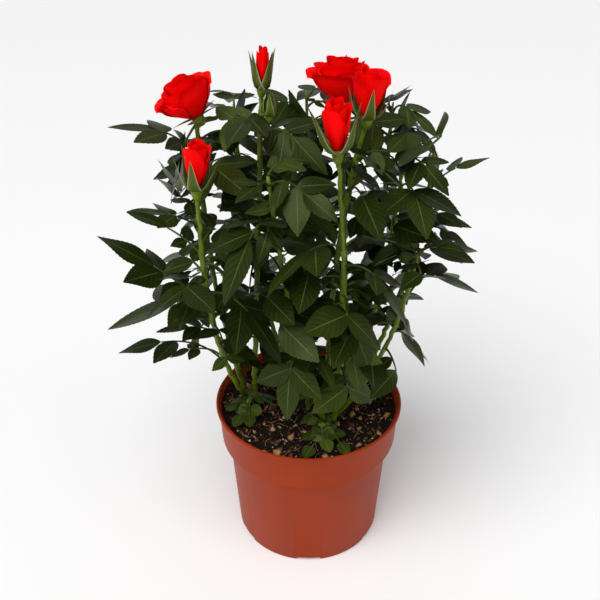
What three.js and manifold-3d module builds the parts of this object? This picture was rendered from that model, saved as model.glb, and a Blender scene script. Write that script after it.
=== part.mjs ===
// A miniature rose bush in its plastic nursery pot. Four short rooted stocks stand in the soil; green
// canes rise from them, each turns into a leafy shoot of compound leaves, and the tallest shoots end in a
// rose or a bud. Millimetres, +Z up. The origin is on the pot's axis, on the plane that the pot stands on;
// -Y is the front.

import * as THREE from "three";
import { mergeVertices } from "three/addons/utils/BufferGeometryUtils.js";
import Module from "manifold-3d";

const wasm = await Module();
wasm.setup();

const rad = THREE.MathUtils.degToRad;
const mix = THREE.MathUtils.lerp;
const point = (x, y, z) => new THREE.Vector3(x, y, z);

// ---------------------------------------------------------------- driving dimensions

const CLEARANCE = 0.3; // between a piece and the neighbour that carries it
const JOIN_TOLERANCE = 0.02; // how near to each other points count as one where solids are joined
const SHORTEST_EDGE = 0.1; // edges under this are closed up on a finished solid

const POT = {
  height: 100,
  lipRadius: 60,
  lipHeight: 2.6,
  bandHeight: 25.4,
  bandTopRadius: 58.4,
  bandFootRadius: 57,
  wallTopRadius: 52.4,
  footRadius: 47.6,
  wall: 1.6,
  floorTop: 4.8,
  notches: 6,
  notchWidth: 16,
  notchHeight: 2.6,
  drainHoles: 4,
  drainRadius: 4,
  drainCircle: 30,
  sides: 28,
};

const SOIL_LEVEL = 92;
const STOCK = { radius: 3.9, flare: 1.2, height: 8 };
const CANE_FOOT_OFFSET = 3.4; // from the stock's axis to a cane's foot
const CANE_RADIUS = { foot: 1.9, shoot: 1.5, stalk: 1.25, tip: 1.1 };

// Compound leaf: a pair of small leaflets, a pair of larger ones, and the largest at the tip.
const LEAF = {
  rachis: 0.85, // length over the tip leaflet's length
  droop: 66, // how far the rachis bends down over its length, in degrees
  rachisRadius: 0.75,
  thickness: 1.1,
  widestAt: 0.42,
  tipWidth: 0.58, // widths over lengths
  sideWidth: 0.72,
  pairs: [
    { at: 0.46, spread: 68, scale: 0.62 },
    { at: 0.84, spread: 56, scale: 0.84 },
  ],
};
const PHYLLOTAXIS = 144; // degrees from one leaf to the next round a cane
const TRIES = 10; // turns and sizes that a leaf tries for room
const CROWDING = 0.66; // under 1, a shoot's leaves crowd towards its tip

// What a leaf keeps clear of
const CELL = 2.7; // the width of the cells of space that a mass of foliage takes for its own
const LIMB_MARGIN = 2.9; // from the axis of another cane, shoot or stalk
const ROSE_MARGIN = 1.5;

// The outline of the crown's body at a few heights: [height, left, right, front, back]. Placed leaves
// stand out of it.
const CROWN = [
  [92, -46, 46, -52, 50],
  [122, -62, 54, -67, 62],
  [142, -77, 57, -74, 79],
  [180, -88, 80, -82, 86],
  [240, -86, 86, -84, 90],
  [285, -82, 78, -74, 86],
  [300, -60, 58, -56, 58],
];

const STOCKS = {
  left: { x: -39, y: 8 },
  front: { x: 13, y: -19 },
  right: { x: 30, y: 20 },
  back: { x: -8, y: 34 },
};

// Each cane: the stock it rises from, the side of the stock it stands on, the point that draws its curve,
// its tip, the heights between which it is leafy, how many leaves it has there, the first leaf's bearing,
// the length of its tip leaflets, and the rose it ends in, with the rose's size and the way it nods.
// "placed" are single leaves: [height on the cane, the point that the leaf's tip reaches, its tip
// leaflet's length and slope].
const CANES = [
  {
    name: "front_left", stock: "left", side: -140, via: [-60, -40, 165], tip: [-58, -40, 265],
    leafy: [122, 230], leaves: 7, bearing: 20, leaflet: 40, seed: 79,
    placed: [
      [131, [-115, -20, 150], 27, -11],
      [196, [-114, -30, 234], 34, 33],
      [188, [-117, -30, 174], 46, -23],
      [226, [-98, -25, 246], 24, 17],
    ],
    bloom: "opening", bloomSize: 26, nod: [0.05, 0],
  },
  {
    name: "left", stock: "left", side: 143, via: [-66, 16, 185], tip: [-61, 4, 288],
    leafy: [135, 277], leaves: 10, bearing: 50, leaflet: 39, seed: 4,
    placed: [
      [262, [-111, 10, 282], 28, 8],
      [203, [-97, -8, 222], 25, 19],
      [244, [-82, -6, 268], 24, 66],
    ],
    bloom: "open", bloomSize: 35, nod: [-0.5, 0],
  },
  {
    name: "centre_left", stock: "left", side: 10, via: [-31, -6, 190], tip: [-26, 8, 302],
    leafy: [200, 286], leaves: 9, bearing: 160, leaflet: 39, seed: 37,
    placed: [],
    bloom: "bud", bloomSize: 21, nod: [0.04, 0.02], sideBud: [-22, 2, 289],
  },
  {
    name: "centre_right", stock: "right", side: 190, via: [22, 22, 190], tip: [17, 14, 293],
    leafy: [190, 284], leaves: 9, bearing: 340, leaflet: 39, seed: 453,
    placed: [],
    bloom: "open", bloomSize: 37, nod: [0.02, 0.12],
  },
  {
    name: "right_half_open", stock: "front", side: 112, via: [10, -4, 205], tip: [29, -14, 293],
    leafy: [210, 270], leaves: 5, bearing: 330, leaflet: 38, seed: 59,
    placed: [],
    bloom: "half_open", bloomSize: 27, nod: [0.06, 0.02],
  },
  {
    name: "front_right", stock: "front", side: -38, via: [23, -38, 190], tip: [13, -41, 285],
    leafy: [140, 232], leaves: 7, bearing: 215, leaflet: 39, seed: 67,
    placed: [[180, [38, -56, 153], 34, -52]],
    bloom: "opening", bloomSize: 28, nod: [-0.06, 0],
  },
  {
    name: "far_right", stock: "right", side: -28, via: [62, 14, 165], tip: [69, 9, 254],
    leafy: [150, 249], leaves: 7, bearing: 30, leaflet: 37, seed: 620,
    placed: [
      [238, [101, 10, 262], 20, 20],
      [204, [92, -4, 228], 30, 6],
    ],
    bloom: "green_bud", bloomSize: 13, nod: [0, 0],
  },
  {
    name: "right", stock: "right", side: -104, via: [46, 0, 180], tip: [51, -4, 269],
    leafy: [180, 268], leaves: 8, bearing: 10, leaflet: 39, seed: 79,
    placed: [[262, [78, 0, 281], 34, 24]],
  },
  {
    name: "right_low", stock: "front", side: 37, via: [52, -20, 145], tip: [58, -30, 222],
    leafy: [138, 221], leaves: 5, bearing: 120, leaflet: 39, seed: 122,
    placed: [
      [216, [96, -12, 217], 32, -12],
      [196, [98, -20, 194], 30, -20],
      [166, [74, -20, 142], 30, -50],
    ],
  },
  {
    name: "front_centre", stock: "front", side: -172, via: [-8, -42, 150], tip: [-22, -36, 270],
    leafy: [135, 269], leaves: 12, bearing: 310, leaflet: 39, seed: 61,
    placed: [[157, [-14, -54, 124], 30, -78]],
  },
  {
    name: "back_left", stock: "back", side: 165, via: [-44, 46, 165], tip: [-44, 44, 284],
    leafy: [140, 283], leaves: 10, bearing: 150, leaflet: 39, seed: 417,
    placed: [[262, [-38, 40, 292], 20, 75]],
  },
  {
    name: "back_centre", stock: "back", side: 60, via: [2, 54, 180], tip: [-2, 42, 290],
    leafy: [140, 289], leaves: 10, bearing: 70, leaflet: 39, seed: 31,
    placed: [[256, [-10, 36, 294], 28, 72]],
  },
  {
    name: "back_right", stock: "right", side: 70, via: [46, 50, 170], tip: [48, 38, 284],
    leafy: [140, 283], leaves: 9, bearing: 160, leaflet: 39, seed: 238,
    placed: [[252, [56, 41, 290], 26, 78]],
  },
  {
    name: "basal_front", stock: "front", side: -105, via: [12, -32, 102], tip: [6, -39, 110],
    leafy: [97, 110], leaves: 2, bearing: 120, leaflet: 14, seed: 346,
    placed: [], basal: true,
  },
  {
    name: "basal_left", stock: "left", side: -72, via: [-37, -8, 103], tip: [-38, -16, 109],
    leafy: [97, 109], leaves: 2, bearing: 50, leaflet: 14, seed: 512,
    placed: [], basal: true,
  },
];

const COLOURS = {
  pot: { color: 0xb0502c, roughness: 0.45, metalness: 0 },
  soil: { color: 0x2b1d14, roughness: 0.95, metalness: 0 },
  cane: { color: 0x6f8a1e, roughness: 0.55, metalness: 0 },
  foliage: { color: 0x2c4a1c, roughness: 0.5, metalness: 0 },
  petals: { color: 0xe0100c, roughness: 0.6, metalness: 0 },
};

// ---------------------------------------------------------------- solids

const bush = new THREE.Group();
const materials = Object.fromEntries(
  Object.entries(COLOURS).map(([name, values]) => [name, new THREE.MeshStandardMaterial(values)]),
);

// A closed geometry as a solid that can be joined and cut.
function solidOf(geometry) {
  const bare = new THREE.BufferGeometry();
  const source = geometry.index ? geometry.toNonIndexed() : geometry;
  bare.setAttribute("position", source.getAttribute("position").clone());
  const merged = mergeVertices(bare, 1e-4);
  const triVerts = [];
  for (let i = 0; i < merged.index.count; i += 3) {
    const [a, b, c] = [merged.index.getX(i), merged.index.getX(i + 1), merged.index.getX(i + 2)];
    if (a !== b && b !== c && c !== a) triVerts.push(a, b, c);
  }
  const made = new wasm.Manifold(
    new wasm.Mesh({
      numProp: 3,
      vertProperties: merged.attributes.position.array,
      triVerts: new Uint32Array(triVerts),
      tolerance: JOIN_TOLERANCE,
    }),
  );
  if (made.volume() > 0) return made;
  return solidOf(turnedInsideOut(bare));
}

function turnedInsideOut(geometry) {
  const position = geometry.getAttribute("position");
  const turned = new Float32Array(position.array);
  for (let i = 0; i < turned.length; i += 9) {
    const second = turned.slice(i + 3, i + 6);
    turned.copyWithin(i + 3, i + 6, i + 9);
    turned.set(second, i + 6);
  }
  return new THREE.BufferGeometry().setAttribute("position", new THREE.BufferAttribute(turned, 3));
}

const joined = (solids) => solids.reduce((whole, next) => whole.add(next));

// The largest body of a solid, without the scraps that a cut leaves.
function largestBody(solid) {
  return solid.decompose().reduce((most, body) => (body.volume() > most.volume() ? body : most));
}

// The triangles of a solid with its shortest edges closed up, wherever that leaves it one closed surface.
function trianglesOf(solid) {
  const { numProp, numVert, vertProperties, triVerts } = solid.getMesh();
  const place = (i) => point(...vertProperties.subarray(i * numProp, i * numProp + 3));
  const places = Array.from({ length: numVert }, (_, i) => place(i));
  const cornersOf = (i) => [...triVerts.subarray(3 * i, 3 * i + 3)];
  let triangles = Array.from({ length: triVerts.length / 3 }, (_, i) => cornersOf(i));
  const sidesOf = ([a, b, c]) => [[a, b], [b, c], [c, a]];
  const isShort = ([a, b]) => a < b && places[a].distanceTo(places[b]) < SHORTEST_EDGE;
  const shorts = triangles.flatMap(sidesOf).filter(isShort);
  const heir = places.map((_, i) => i);
  const standing = (i) => (heir[i] === i ? i : standing(heir[i]));
  for (const [first, second] of shorts) {
    const [a, b] = [standing(first), standing(second)];
    const beside = (vertex) => new Set(triangles.filter((corners) => corners.includes(vertex)).flat());
    const nearA = beside(a);
    const shared = [...beside(b)].filter((i) => i !== a && i !== b && nearA.has(i));
    if (a === b || shared.length !== 2) continue;
    heir[b] = a;
    triangles = triangles.map((corners) => corners.map((i) => (i === b ? a : i)));
    triangles = triangles.filter(([i, j, k]) => i !== j && j !== k && k !== i);
  }
  return { places, triangles };
}

function addNode(name, solid, material) {
  const { places, triangles } = trianglesOf(largestBody(solid));
  const corners = triangles.flat().map((i) => places[i]);
  const geometry = mergeVertices(new THREE.BufferGeometry().setFromPoints(corners), 1e-5);
  const node = new THREE.Mesh(geometry, material);
  node.name = name;
  bush.add(node);
}

// Every vertex of a geometry moved by a function of its old place.
function reshaped(geometry, move) {
  const position = geometry.getAttribute("position");
  const at = point(0, 0, 0);
  for (let i = 0; i < position.count; i++) {
    at.fromBufferAttribute(position, i);
    move(at);
    position.setXYZ(i, at.x, at.y, at.z);
  }
  return geometry;
}

// A tapering limb with flat ends, along part of a curve.
function limb(curve, from, to, radiusAtFoot, radiusAtTip, sides, steps) {
  const rod = new THREE.CylinderGeometry(1, 1, 1, sides, steps);
  return solidOf(
    reshaped(rod, (v) => {
      const share = v.y + 0.5;
      const t = mix(from, to, share);
      const along = curve.getTangent(t);
      const across = point(0, 1, 0.02).cross(along).normalize();
      const other = along.clone().cross(across);
      const radius = mix(radiusAtFoot, radiusAtTip, share);
      const at = curve.getPoint(t);
      at.addScaledVector(across, v.x * radius).addScaledVector(other, v.z * radius);
      v.copy(at);
    }),
  );
}

// Seeded draws between 0 and 1, the same on every run.
function draws(seed) {
  let state = seed;
  return () => {
    state = (state * 48271) % 2147483647;
    return state / 2147483647;
  };
}

// ---------------------------------------------------------------- pot and soil

function potSolid() {
  const bandFoot = POT.height - POT.bandHeight;
  const underLip = POT.height - POT.lipHeight;
  const outline = [
    [0, 0],
    [POT.footRadius - 0.6, 0],
    [POT.footRadius, 1],
    [POT.wallTopRadius, bandFoot - 2.4],
    [POT.bandFootRadius, bandFoot],
    [POT.bandTopRadius, underLip],
    [POT.lipRadius, underLip],
    [POT.lipRadius, POT.height],
    [POT.lipRadius - 1.8, POT.height],
    [POT.bandTopRadius - POT.wall, underLip],
    [POT.bandFootRadius - POT.wall, bandFoot],
    [POT.wallTopRadius - POT.wall, bandFoot - 2.4],
    [POT.footRadius - POT.wall, POT.floorTop],
    [0, POT.floorTop],
  ].map(([r, z]) => new THREE.Vector2(r, z));
  let pot = solidOf(new THREE.LatheGeometry(outline, POT.sides).rotateX(Math.PI / 2));
  for (let k = 0; k < POT.notches; k++) {
    const notch = new THREE.BoxGeometry(12, POT.notchWidth, 2 * POT.notchHeight);
    notch.translate(POT.footRadius - 2, 0, 0).rotateZ(rad(-90 + (360 / POT.notches) * k));
    pot = pot.subtract(solidOf(notch));
  }
  for (let k = 0; k < POT.drainHoles; k++) {
    const hole = new THREE.CylinderGeometry(POT.drainRadius, POT.drainRadius, 12, 8).rotateX(Math.PI / 2);
    hole.translate(POT.drainCircle, 0, POT.floorTop).rotateZ(rad(-60 + (360 / POT.drainHoles) * k));
    pot = pot.subtract(solidOf(hole));
  }
  return pot;
}

function soilSolid() {
  const bandFoot = POT.height - POT.bandHeight;
  const inside = POT.wall + CLEARANCE;
  const outline = [
    [0, POT.floorTop + CLEARANCE],
    [POT.footRadius - inside, POT.floorTop + CLEARANCE],
    [POT.wallTopRadius - inside, bandFoot - 2.4],
    [POT.bandFootRadius - inside, bandFoot + 0.5],
    [POT.bandTopRadius - inside - 1, SOIL_LEVEL],
    [0, SOIL_LEVEL],
  ].map(([r, z]) => new THREE.Vector2(r, z));
  return solidOf(new THREE.LatheGeometry(outline, POT.sides).rotateX(Math.PI / 2));
}

addNode("pot", potSolid(), materials.pot);
addNode("soil", soilSolid(), materials.soil);

// ---------------------------------------------------------------- stocks

// A rooted cutting's short woody stock, flared at the soil, with its canes on its sides.
function stockSolid({ x, y }, grown = 0) {
  const { radius, flare, height } = STOCK;
  const foot = SOIL_LEVEL + CLEARANCE;
  const outline = [
    [0, foot - grown],
    [radius + flare + grown, foot - grown],
    [radius + grown, foot + 2.6],
    [radius - 0.3 + grown, foot + height - 1],
    [radius - 1.4 + grown, foot + height + grown],
    [0, foot + height + grown],
  ].map(([r, z]) => new THREE.Vector2(r, z));
  return solidOf(new THREE.LatheGeometry(outline, 8).rotateX(Math.PI / 2).translate(x, y, 0));
}

for (const [name, stock] of Object.entries(STOCKS)) {
  addNode(`stock_${name}`, stockSolid(stock), materials.cane);
}

// ---------------------------------------------------------------- canes

const LINE_STEPS = 8;

// The curve of a cane from its stock to its tip, and its bare, leafy and flowering stretches.
function layOut(cane, index) {
  const stock = STOCKS[cane.stock];
  const foot = point(
    stock.x + CANE_FOOT_OFFSET * Math.cos(rad(cane.side)),
    stock.y + CANE_FOOT_OFFSET * Math.sin(rad(cane.side)),
    SOIL_LEVEL + STOCK.height - 3,
  );
  const curve = new THREE.QuadraticBezierCurve3(foot, point(...cane.via), point(...cane.tip));
  const shareAt = (height) => {
    let [low, high] = [0, 1];
    for (let k = 0; k < 30; k++) {
      const middle = (low + high) / 2;
      if (curve.getPoint(middle).z < height) low = middle;
      else high = middle;
    }
    return (low + high) / 2;
  };
  const [start, end] = cane.leafy.map(shareAt);
  const stretch = (from, to) =>
    Array.from({ length: LINE_STEPS + 1 }, (_, k) => curve.getPoint(mix(from, to, k / LINE_STEPS)));
  const nod = cane.bloom ? point(cane.nod[0], cane.nod[1], 1).normalize() : null;
  const heart = nod && point(...cane.tip).addScaledVector(nod, cane.bloomSize * 0.4);
  return {
    ...cane, index, curve, shareAt, start, end, nod, heart,
    draw: draws(cane.seed),
    grown: [],
    middles: [],
    shoot: stretch(start, end),
    bare: [...(cane.basal ? [] : [stretch(0, start)]), ...(cane.bloom ? [stretch(end, 1)] : [])],
  };
}

const canes = CANES.map(layOut);

const pieceOfLine = new THREE.Line3();
const nearest = point(0, 0, 0);

function distanceToLine(at, line) {
  let least = Infinity;
  for (let k = 1; k < line.length; k++) {
    pieceOfLine.set(line[k - 1], line[k]).closestPointToPoint(at, true, nearest);
    least = Math.min(least, nearest.distanceTo(at));
  }
  return least;
}

// ---------------------------------------------------------------- leaves

// The places of one compound leaf: its rachis and its leaflets. The lower pair is the small one.
function compoundLeaf(root, { bearing, rise, droop, rachisLength, size, broad, loose }, draw) {
  const heading = (pitch) =>
    point(
      Math.cos(rad(bearing)) * Math.cos(rad(pitch)),
      Math.sin(rad(bearing)) * Math.cos(rad(pitch)),
      Math.sin(rad(pitch)),
    );
  const knee = root.clone().addScaledVector(heading(rise), rachisLength / 2);
  const end = knee.clone().addScaledVector(heading(rise - droop), rachisLength / 2);
  const rachis = new THREE.QuadraticBezierCurve3(root, knee, end);
  const level = point(-Math.sin(rad(bearing)), Math.cos(rad(bearing)), 0);
  const roll = rad(70 * loose * (draw() - 0.5));
  const leaflets = [];
  const addLeaflet = (at, turn, length, width) => {
    const along = rachis.getTangent(at);
    const up = along.clone().cross(level).applyAxisAngle(along, roll).normalize();
    const turned = along.clone().applyAxisAngle(up, rad(turn + 16 * loose * (draw() - 0.5)));
    const tipped = turned.addScaledVector(up, -0.1 + 0.46 * loose * (draw() - 0.5)).normalize();
    const lateral = up.clone().cross(tipped).normalize();
    leaflets.push({
      at,
      base: rachis.getPoint(at),
      along: tipped,
      lateral,
      up: tipped.clone().cross(lateral),
      length: length * (1 + 0.16 * loose * (draw() - 0.5)),
      width: width * broad,
    });
  };
  for (const pair of LEAF.pairs) {
    addLeaflet(pair.at, pair.spread, size * pair.scale, LEAF.sideWidth);
    addLeaflet(pair.at, -pair.spread, size * pair.scale, LEAF.sideWidth);
  }
  addLeaflet(1, 0, size, LEAF.tipWidth);
  return { rachis, leaflets };
}

// The habit of a leaf whose tip reaches a point.
function habitTo(root, tip, size, slope) {
  const away = tip.clone().sub(root).setZ(0);
  const bearing = Math.atan2(away.y, away.x);
  const run = size * Math.cos(rad(slope));
  const back = point(-run * Math.cos(bearing), -run * Math.sin(bearing), -size * Math.sin(rad(slope)));
  const base = tip.clone().add(back);
  const reach = base.clone().sub(root);
  const level = reach.x * Math.cos(bearing) + reach.y * Math.sin(bearing);
  const rachisSlope = THREE.MathUtils.radToDeg(Math.atan2(reach.z, level));
  const droop = 2 * (rachisSlope - slope - 6);
  return {
    bearing: THREE.MathUtils.radToDeg(bearing),
    rise: rachisSlope + droop / 2,
    droop,
    rachisLength: reach.length() / Math.cos(rad(droop / 2)),
    size,
    loose: 0,
  };
}

// A leaflet's six corners: where it joins, its tip, its two edges, and its upper and under side at the
// midrib.
function leafletCorners({ base, along, lateral, up, length, width }) {
  const halfWidth = (length * width) / 2;
  const middle = base.clone().addScaledVector(along, length * LEAF.widestAt);
  const corner = (from, side, height) =>
    from.clone().addScaledVector(lateral, side).addScaledVector(up, height);
  return {
    base: base.clone().addScaledVector(along, -0.5),
    tip: corner(base.clone().addScaledVector(along, length), 0, -0.07 * length),
    left: corner(middle, halfWidth, 0.12 * halfWidth),
    right: corner(middle, -halfWidth, 0.12 * halfWidth),
    over: corner(middle, 0, LEAF.thickness / 2),
    under: corner(middle, 0, -LEAF.thickness / 2),
  };
}

function plateSolid(corners) {
  const plate = new THREE.OctahedronGeometry(1);
  return solidOf(
    reshaped(plate, (v) => {
      if (v.x > 0.5) v.copy(corners.tip);
      else if (v.x < -0.5) v.copy(corners.base);
      else if (v.y > 0.5) v.copy(corners.left);
      else if (v.y < -0.5) v.copy(corners.right);
      else v.copy(v.z > 0 ? corners.over : corners.under);
    }),
  );
}

// ---------------------------------------------------------------- the space of each mass

// The cells of space that each mass has taken, by one bit for each mass. A cell is taken with all its
// neighbours, so that the leaves of two masses lie at least one cell apart.
const taken = new Map();
const inCells = (length) => Math.floor(length / CELL);
const cellOf = (x, y, z) => (inCells(x) * 512 + inCells(y)) * 512 + inCells(z);

function take(points, mass) {
  for (const { x, y, z } of points) {
    for (let i = 0; i < 27; i++) {
      const [dx, dy, dz] = [(i % 3) - 1, (Math.floor(i / 3) % 3) - 1, Math.floor(i / 9) - 1];
      const cell = cellOf(x + dx * CELL, y + dy * CELL, z + dz * CELL);
      taken.set(cell, (taken.get(cell) ?? 0) | (1 << mass));
    }
  }
}

function insideCrown({ x, y, z }) {
  const above = CROWN.findIndex(([height]) => height > z);
  if (above < 1) return false;
  const [low, high] = [CROWN[above - 1], CROWN[above]];
  const share = (z - low[0]) / (high[0] - low[0]);
  const [left, right, front, back] = [1, 2, 3, 4].map((side) => mix(low[side], high[side], share));
  const across = x < 0 ? x / left : x / right;
  const deep = y < 0 ? y / front : y / back;
  return across <= 1 && deep <= 1 && across ** 4 + deep ** 4 < 1.25;
}

// A leaf lies inside the crown, in space that no other mass has taken, out of the pot, and clear of limbs,
// stocks and roses.
function hasRoom(at, cane, placed) {
  if (!placed && !insideCrown(at)) return false;
  if ((taken.get(cellOf(at.x, at.y, at.z)) ?? 0) & ~(1 << cane.index)) return false;
  const out = Math.hypot(at.x, at.y);
  const overPot = out < POT.lipRadius + 2;
  if (at.z < SOIL_LEVEL + 1.5) return false;
  if (overPot && out > POT.bandFootRadius - 5 && at.z < POT.height + 1.5) return false;
  for (const { x, y } of Object.values(STOCKS)) {
    const near = Math.hypot(at.x - x, at.y - y) < STOCK.radius + STOCK.flare + 1.2;
    if (near && at.z < SOIL_LEVEL + STOCK.height + 2) return false;
  }
  for (const other of canes) {
    if (other !== cane && distanceToLine(at, other.shoot) < LIMB_MARGIN) return false;
    if (other.bare.some((line) => distanceToLine(at, line) < LIMB_MARGIN)) return false;
    if (other.heart && at.distanceTo(other.heart) < other.bloomSize * 0.56 + ROSE_MARGIN) return false;
  }
  return true;
}

// Points spread over a leaflet's blade.
function leafletPoints({ base, along, lateral, up, length, width }) {
  const points = [];
  for (let k = 0; k < 13; k++) {
    const share = 0.04 + 0.08 * k;
    const half = 0.5 * width * length * Math.sin(Math.PI * share ** 0.8);
    const middle = base.clone().addScaledVector(along, share * length);
    middle.addScaledVector(up, -0.07 * length * share ** 2);
    for (let side = -1; side <= 1; side += 0.25) {
      const at = middle.clone().addScaledVector(lateral, side * half);
      points.push(at.addScaledVector(up, 0.12 * half * Math.abs(side)));
    }
  }
  return points;
}

// How far along its rachis a leaf stays in its space.
function rachisReach(rachis, cane, placed) {
  const steps = 12;
  for (let k = 2; k <= steps; k++) {
    if (!hasRoom(rachis.getPoint(k / steps), cane, placed)) return (k - 1) / steps;
  }
  return 1;
}

const middleOf = ({ base, along, length }) => base.clone().addScaledVector(along, length / 2);

// The part of a leaf that has room, and its worth: how much leaf that is, less where it crowds its
// neighbours.
function pruned({ rachis, leaflets }, cane, placed) {
  const reach = rachisReach(rachis, cane, placed);
  const kept = leaflets.filter(
    (leaflet) => leaflet.at <= reach && leafletPoints(leaflet).every((at) => hasRoom(at, cane, placed)),
  );
  let worth = 0;
  for (const leaflet of kept) {
    const middle = middleOf(leaflet);
    const gaps = cane.middles.map((other) => middle.distanceTo(other) / (0.6 * leaflet.length));
    worth += leaflet.length ** 2 * Math.min(1, ...gaps) ** 2;
  }
  return { rachis, kept, worth };
}

// All the leaves. Each cane's placed leaves stand first, whole. Then the shoots put out a leaf each in
// turn, from their tips downwards. These leave out the small lower pair, try a few turns and sizes and
// keep the best.
function growLeaves() {
  const keep = (cane, leaf) => {
    if (leaf.kept.length === 0) return;
    cane.grown.push(leaf);
    cane.middles.push(...leaf.kept.map(middleOf));
    for (const leaflet of leaf.kept) take(leafletPoints(leaflet), cane.index);
    take(leaf.rachis.getPoints(12), cane.index);
  };
  const broadOf = ({ basal }) => (basal ? 1.25 : 1);
  for (const cane of canes) {
    for (const [height, tip, size, slope] of cane.placed) {
      const root = cane.curve.getPoint(cane.shareAt(height));
      const habit = { ...habitTo(root, point(...tip), size, slope), broad: broadOf(cane) };
      keep(cane, pruned(compoundLeaf(root, habit, cane.draw), cane, true));
    }
  }
  const turns = Math.max(...canes.map(({ leaves }) => leaves));
  for (let turn = 0; turn < turns; turn++) {
    for (const cane of canes.filter(({ leaves }) => turn < leaves)) {
      const { draw } = cane;
      const share = (1 - (turn + 0.5) / cane.leaves) ** CROWDING;
      const root = cane.curve.getPoint(mix(cane.start, cane.end, share));
      let best = null;
      for (let attempt = 0; attempt < TRIES; attempt++) {
        const swing = 30 + 16 * attempt;
        const vigour = 0.86 + 0.18 * Math.sin(Math.PI * share) + 0.14 * (draw() - 0.5);
        const size = cane.leaflet * (1 - 0.04 * attempt) * vigour;
        const habit = {
          bearing: cane.bearing + PHYLLOTAXIS * turn + swing * (draw() - 0.5),
          rise: mix(14, 50, share) + (26 + 4 * attempt) * (draw() - 0.5),
          droop: LEAF.droop,
          rachisLength: size * LEAF.rachis,
          size,
          broad: broadOf(cane),
          loose: 1,
        };
        const { rachis, leaflets } = compoundLeaf(root, habit, draw);
        const leaf = pruned({ rachis, leaflets: leaflets.slice(2) }, cane, false);
        if (!best || leaf.worth > best.worth) best = leaf;
      }
      keep(cane, best);
    }
  }
}

// ---------------------------------------------------------------- roses

// The petals of a rose as one bowl with a lobed rim, round its furled heart.
function corollaSolid({ belly, rim, height, heart, heartHeight, lobes }) {
  const outline = [
    [0, 0],
    [belly * 0.4, 0],
    [belly * 0.9, height * 0.28],
    [belly, height * 0.6],
    [rim, height],
    [rim - 1.3, height],
    [Math.max(belly - 1.8, heart + 0.6), height * 0.7],
    [heart * 1.02, height * 0.62],
    [heart, heartHeight * 0.86],
    [heart * 0.5, heartHeight],
    [0, heartHeight],
  ].map(([r, z]) => new THREE.Vector2(r, z));
  const bowl = new THREE.LatheGeometry(outline, 10).rotateX(Math.PI / 2);
  return solidOf(
    reshaped(bowl, (v) => {
      if (Math.hypot(v.x, v.y) < heart + 0.3) return;
      const lobe = Math.cos(lobes * Math.atan2(v.y, v.x)) * Math.max(0, v.z / height - 0.3);
      v.set(v.x * (1 + 0.12 * lobe), v.y * (1 + 0.12 * lobe), v.z * (1 + 0.05 * lobe));
    }),
  );
}

// A furled bud: an egg whose ribs wind round it.
function heartSolid(radius, height) {
  const egg = new THREE.CylinderGeometry(1, 1, 1, 6, 3);
  return solidOf(
    reshaped(egg, (v) => {
      const up = v.y + 0.5;
      const swell = Math.sin(Math.PI * (0.16 + 0.68 * up)) ** 0.8;
      const angle = Math.atan2(v.z, v.x) + 0.9 * up;
      const r = Math.hypot(v.x, v.z) * radius * swell;
      v.set(r * Math.cos(angle), r * Math.sin(angle), height * up);
    }),
  );
}

function hipSolid(radius, height) {
  const hip = new THREE.CylinderGeometry(1, 1, 1, 6, 2);
  return solidOf(
    reshaped(hip, (v) => {
      const up = v.y + 0.5;
      const r = radius * (0.42 + 0.58 * Math.sin(Math.PI * (0.08 + 0.62 * up)));
      v.set(v.x * r, v.z * r, height * (up - 1) + 1);
    }),
  );
}

// Five sepals round the hip, each a long pointed blade leaning out from the petals.
function sepalSolids(hipRadius, length, lean) {
  return Array.from({ length: 5 }, (_, k) => {
    const angle = rad(72 * k - 90);
    const out = point(Math.cos(angle), Math.sin(angle), 0);
    const along = out.clone().multiplyScalar(Math.sin(lean)).add(point(0, 0, Math.cos(lean)));
    const lateral = point(0, 0, 1).cross(out);
    const up = along.clone().cross(lateral);
    const base = out.clone().multiplyScalar(hipRadius * 0.5).add(point(0, 0, -0.8));
    const halfWidth = length * 0.15;
    const middle = base.clone().addScaledVector(along, length * 0.35).addScaledVector(up, -0.1 * length);
    return plateSolid({
      base,
      tip: base.clone().addScaledVector(along, length),
      left: middle.clone().addScaledVector(lateral, halfWidth),
      right: middle.clone().addScaledVector(lateral, -halfWidth),
      over: middle.clone().addScaledVector(up, 0.5),
      under: middle.clone().addScaledVector(up, -0.5),
    });
  });
}

// Each kind of flower, upright with its petals starting at the origin.
const FLOWERS = {
  open: (size) => [
    hipSolid(3.2, 7),
    ...sepalSolids(3.2, size * 0.5, rad(66)),
    corollaSolid({
      belly: size * 0.42,
      rim: size * 0.5,
      height: size * 0.52,
      heart: size * 0.24,
      heartHeight: size * 0.6,
      lobes: 5,
    }),
  ],
  half_open: (size) => [
    hipSolid(3.1, 7),
    ...sepalSolids(3.1, size * 0.92, rad(24)),
    corollaSolid({
      belly: size * 0.28,
      rim: size * 0.38,
      height: size * 0.86,
      heart: size * 0.16,
      heartHeight: size * 0.84,
      lobes: 5,
    }),
  ],
  opening: (size) => [
    hipSolid(3, 7),
    ...sepalSolids(3, size * 0.98, rad(28)),
    corollaSolid({
      belly: size * 0.25,
      rim: size * 0.22,
      height: size * 0.8,
      heart: size * 0.13,
      heartHeight: size * 0.94,
      lobes: 5,
    }),
  ],
  bud: (size) => [
    hipSolid(2.7, 6),
    heartSolid(size * 0.2, size * 1.02),
    ...sepalSolids(2.7, size * 1.02, rad(15)),
  ],
  green_bud: (size) => [
    hipSolid(2.3, 5),
    heartSolid(size * 0.24, size * 0.7),
    ...sepalSolids(2.3, size * 0.95, rad(13)),
  ],
};

function flowerSolid(kind, size, at, nod) {
  const turn = new THREE.Quaternion().setFromUnitVectors(point(0, 0, 1), nod);
  const place = new THREE.Matrix4().compose(at, turn, point(1, 1, 1));
  return joined(FLOWERS[kind](size)).transform(place.elements);
}

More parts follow.
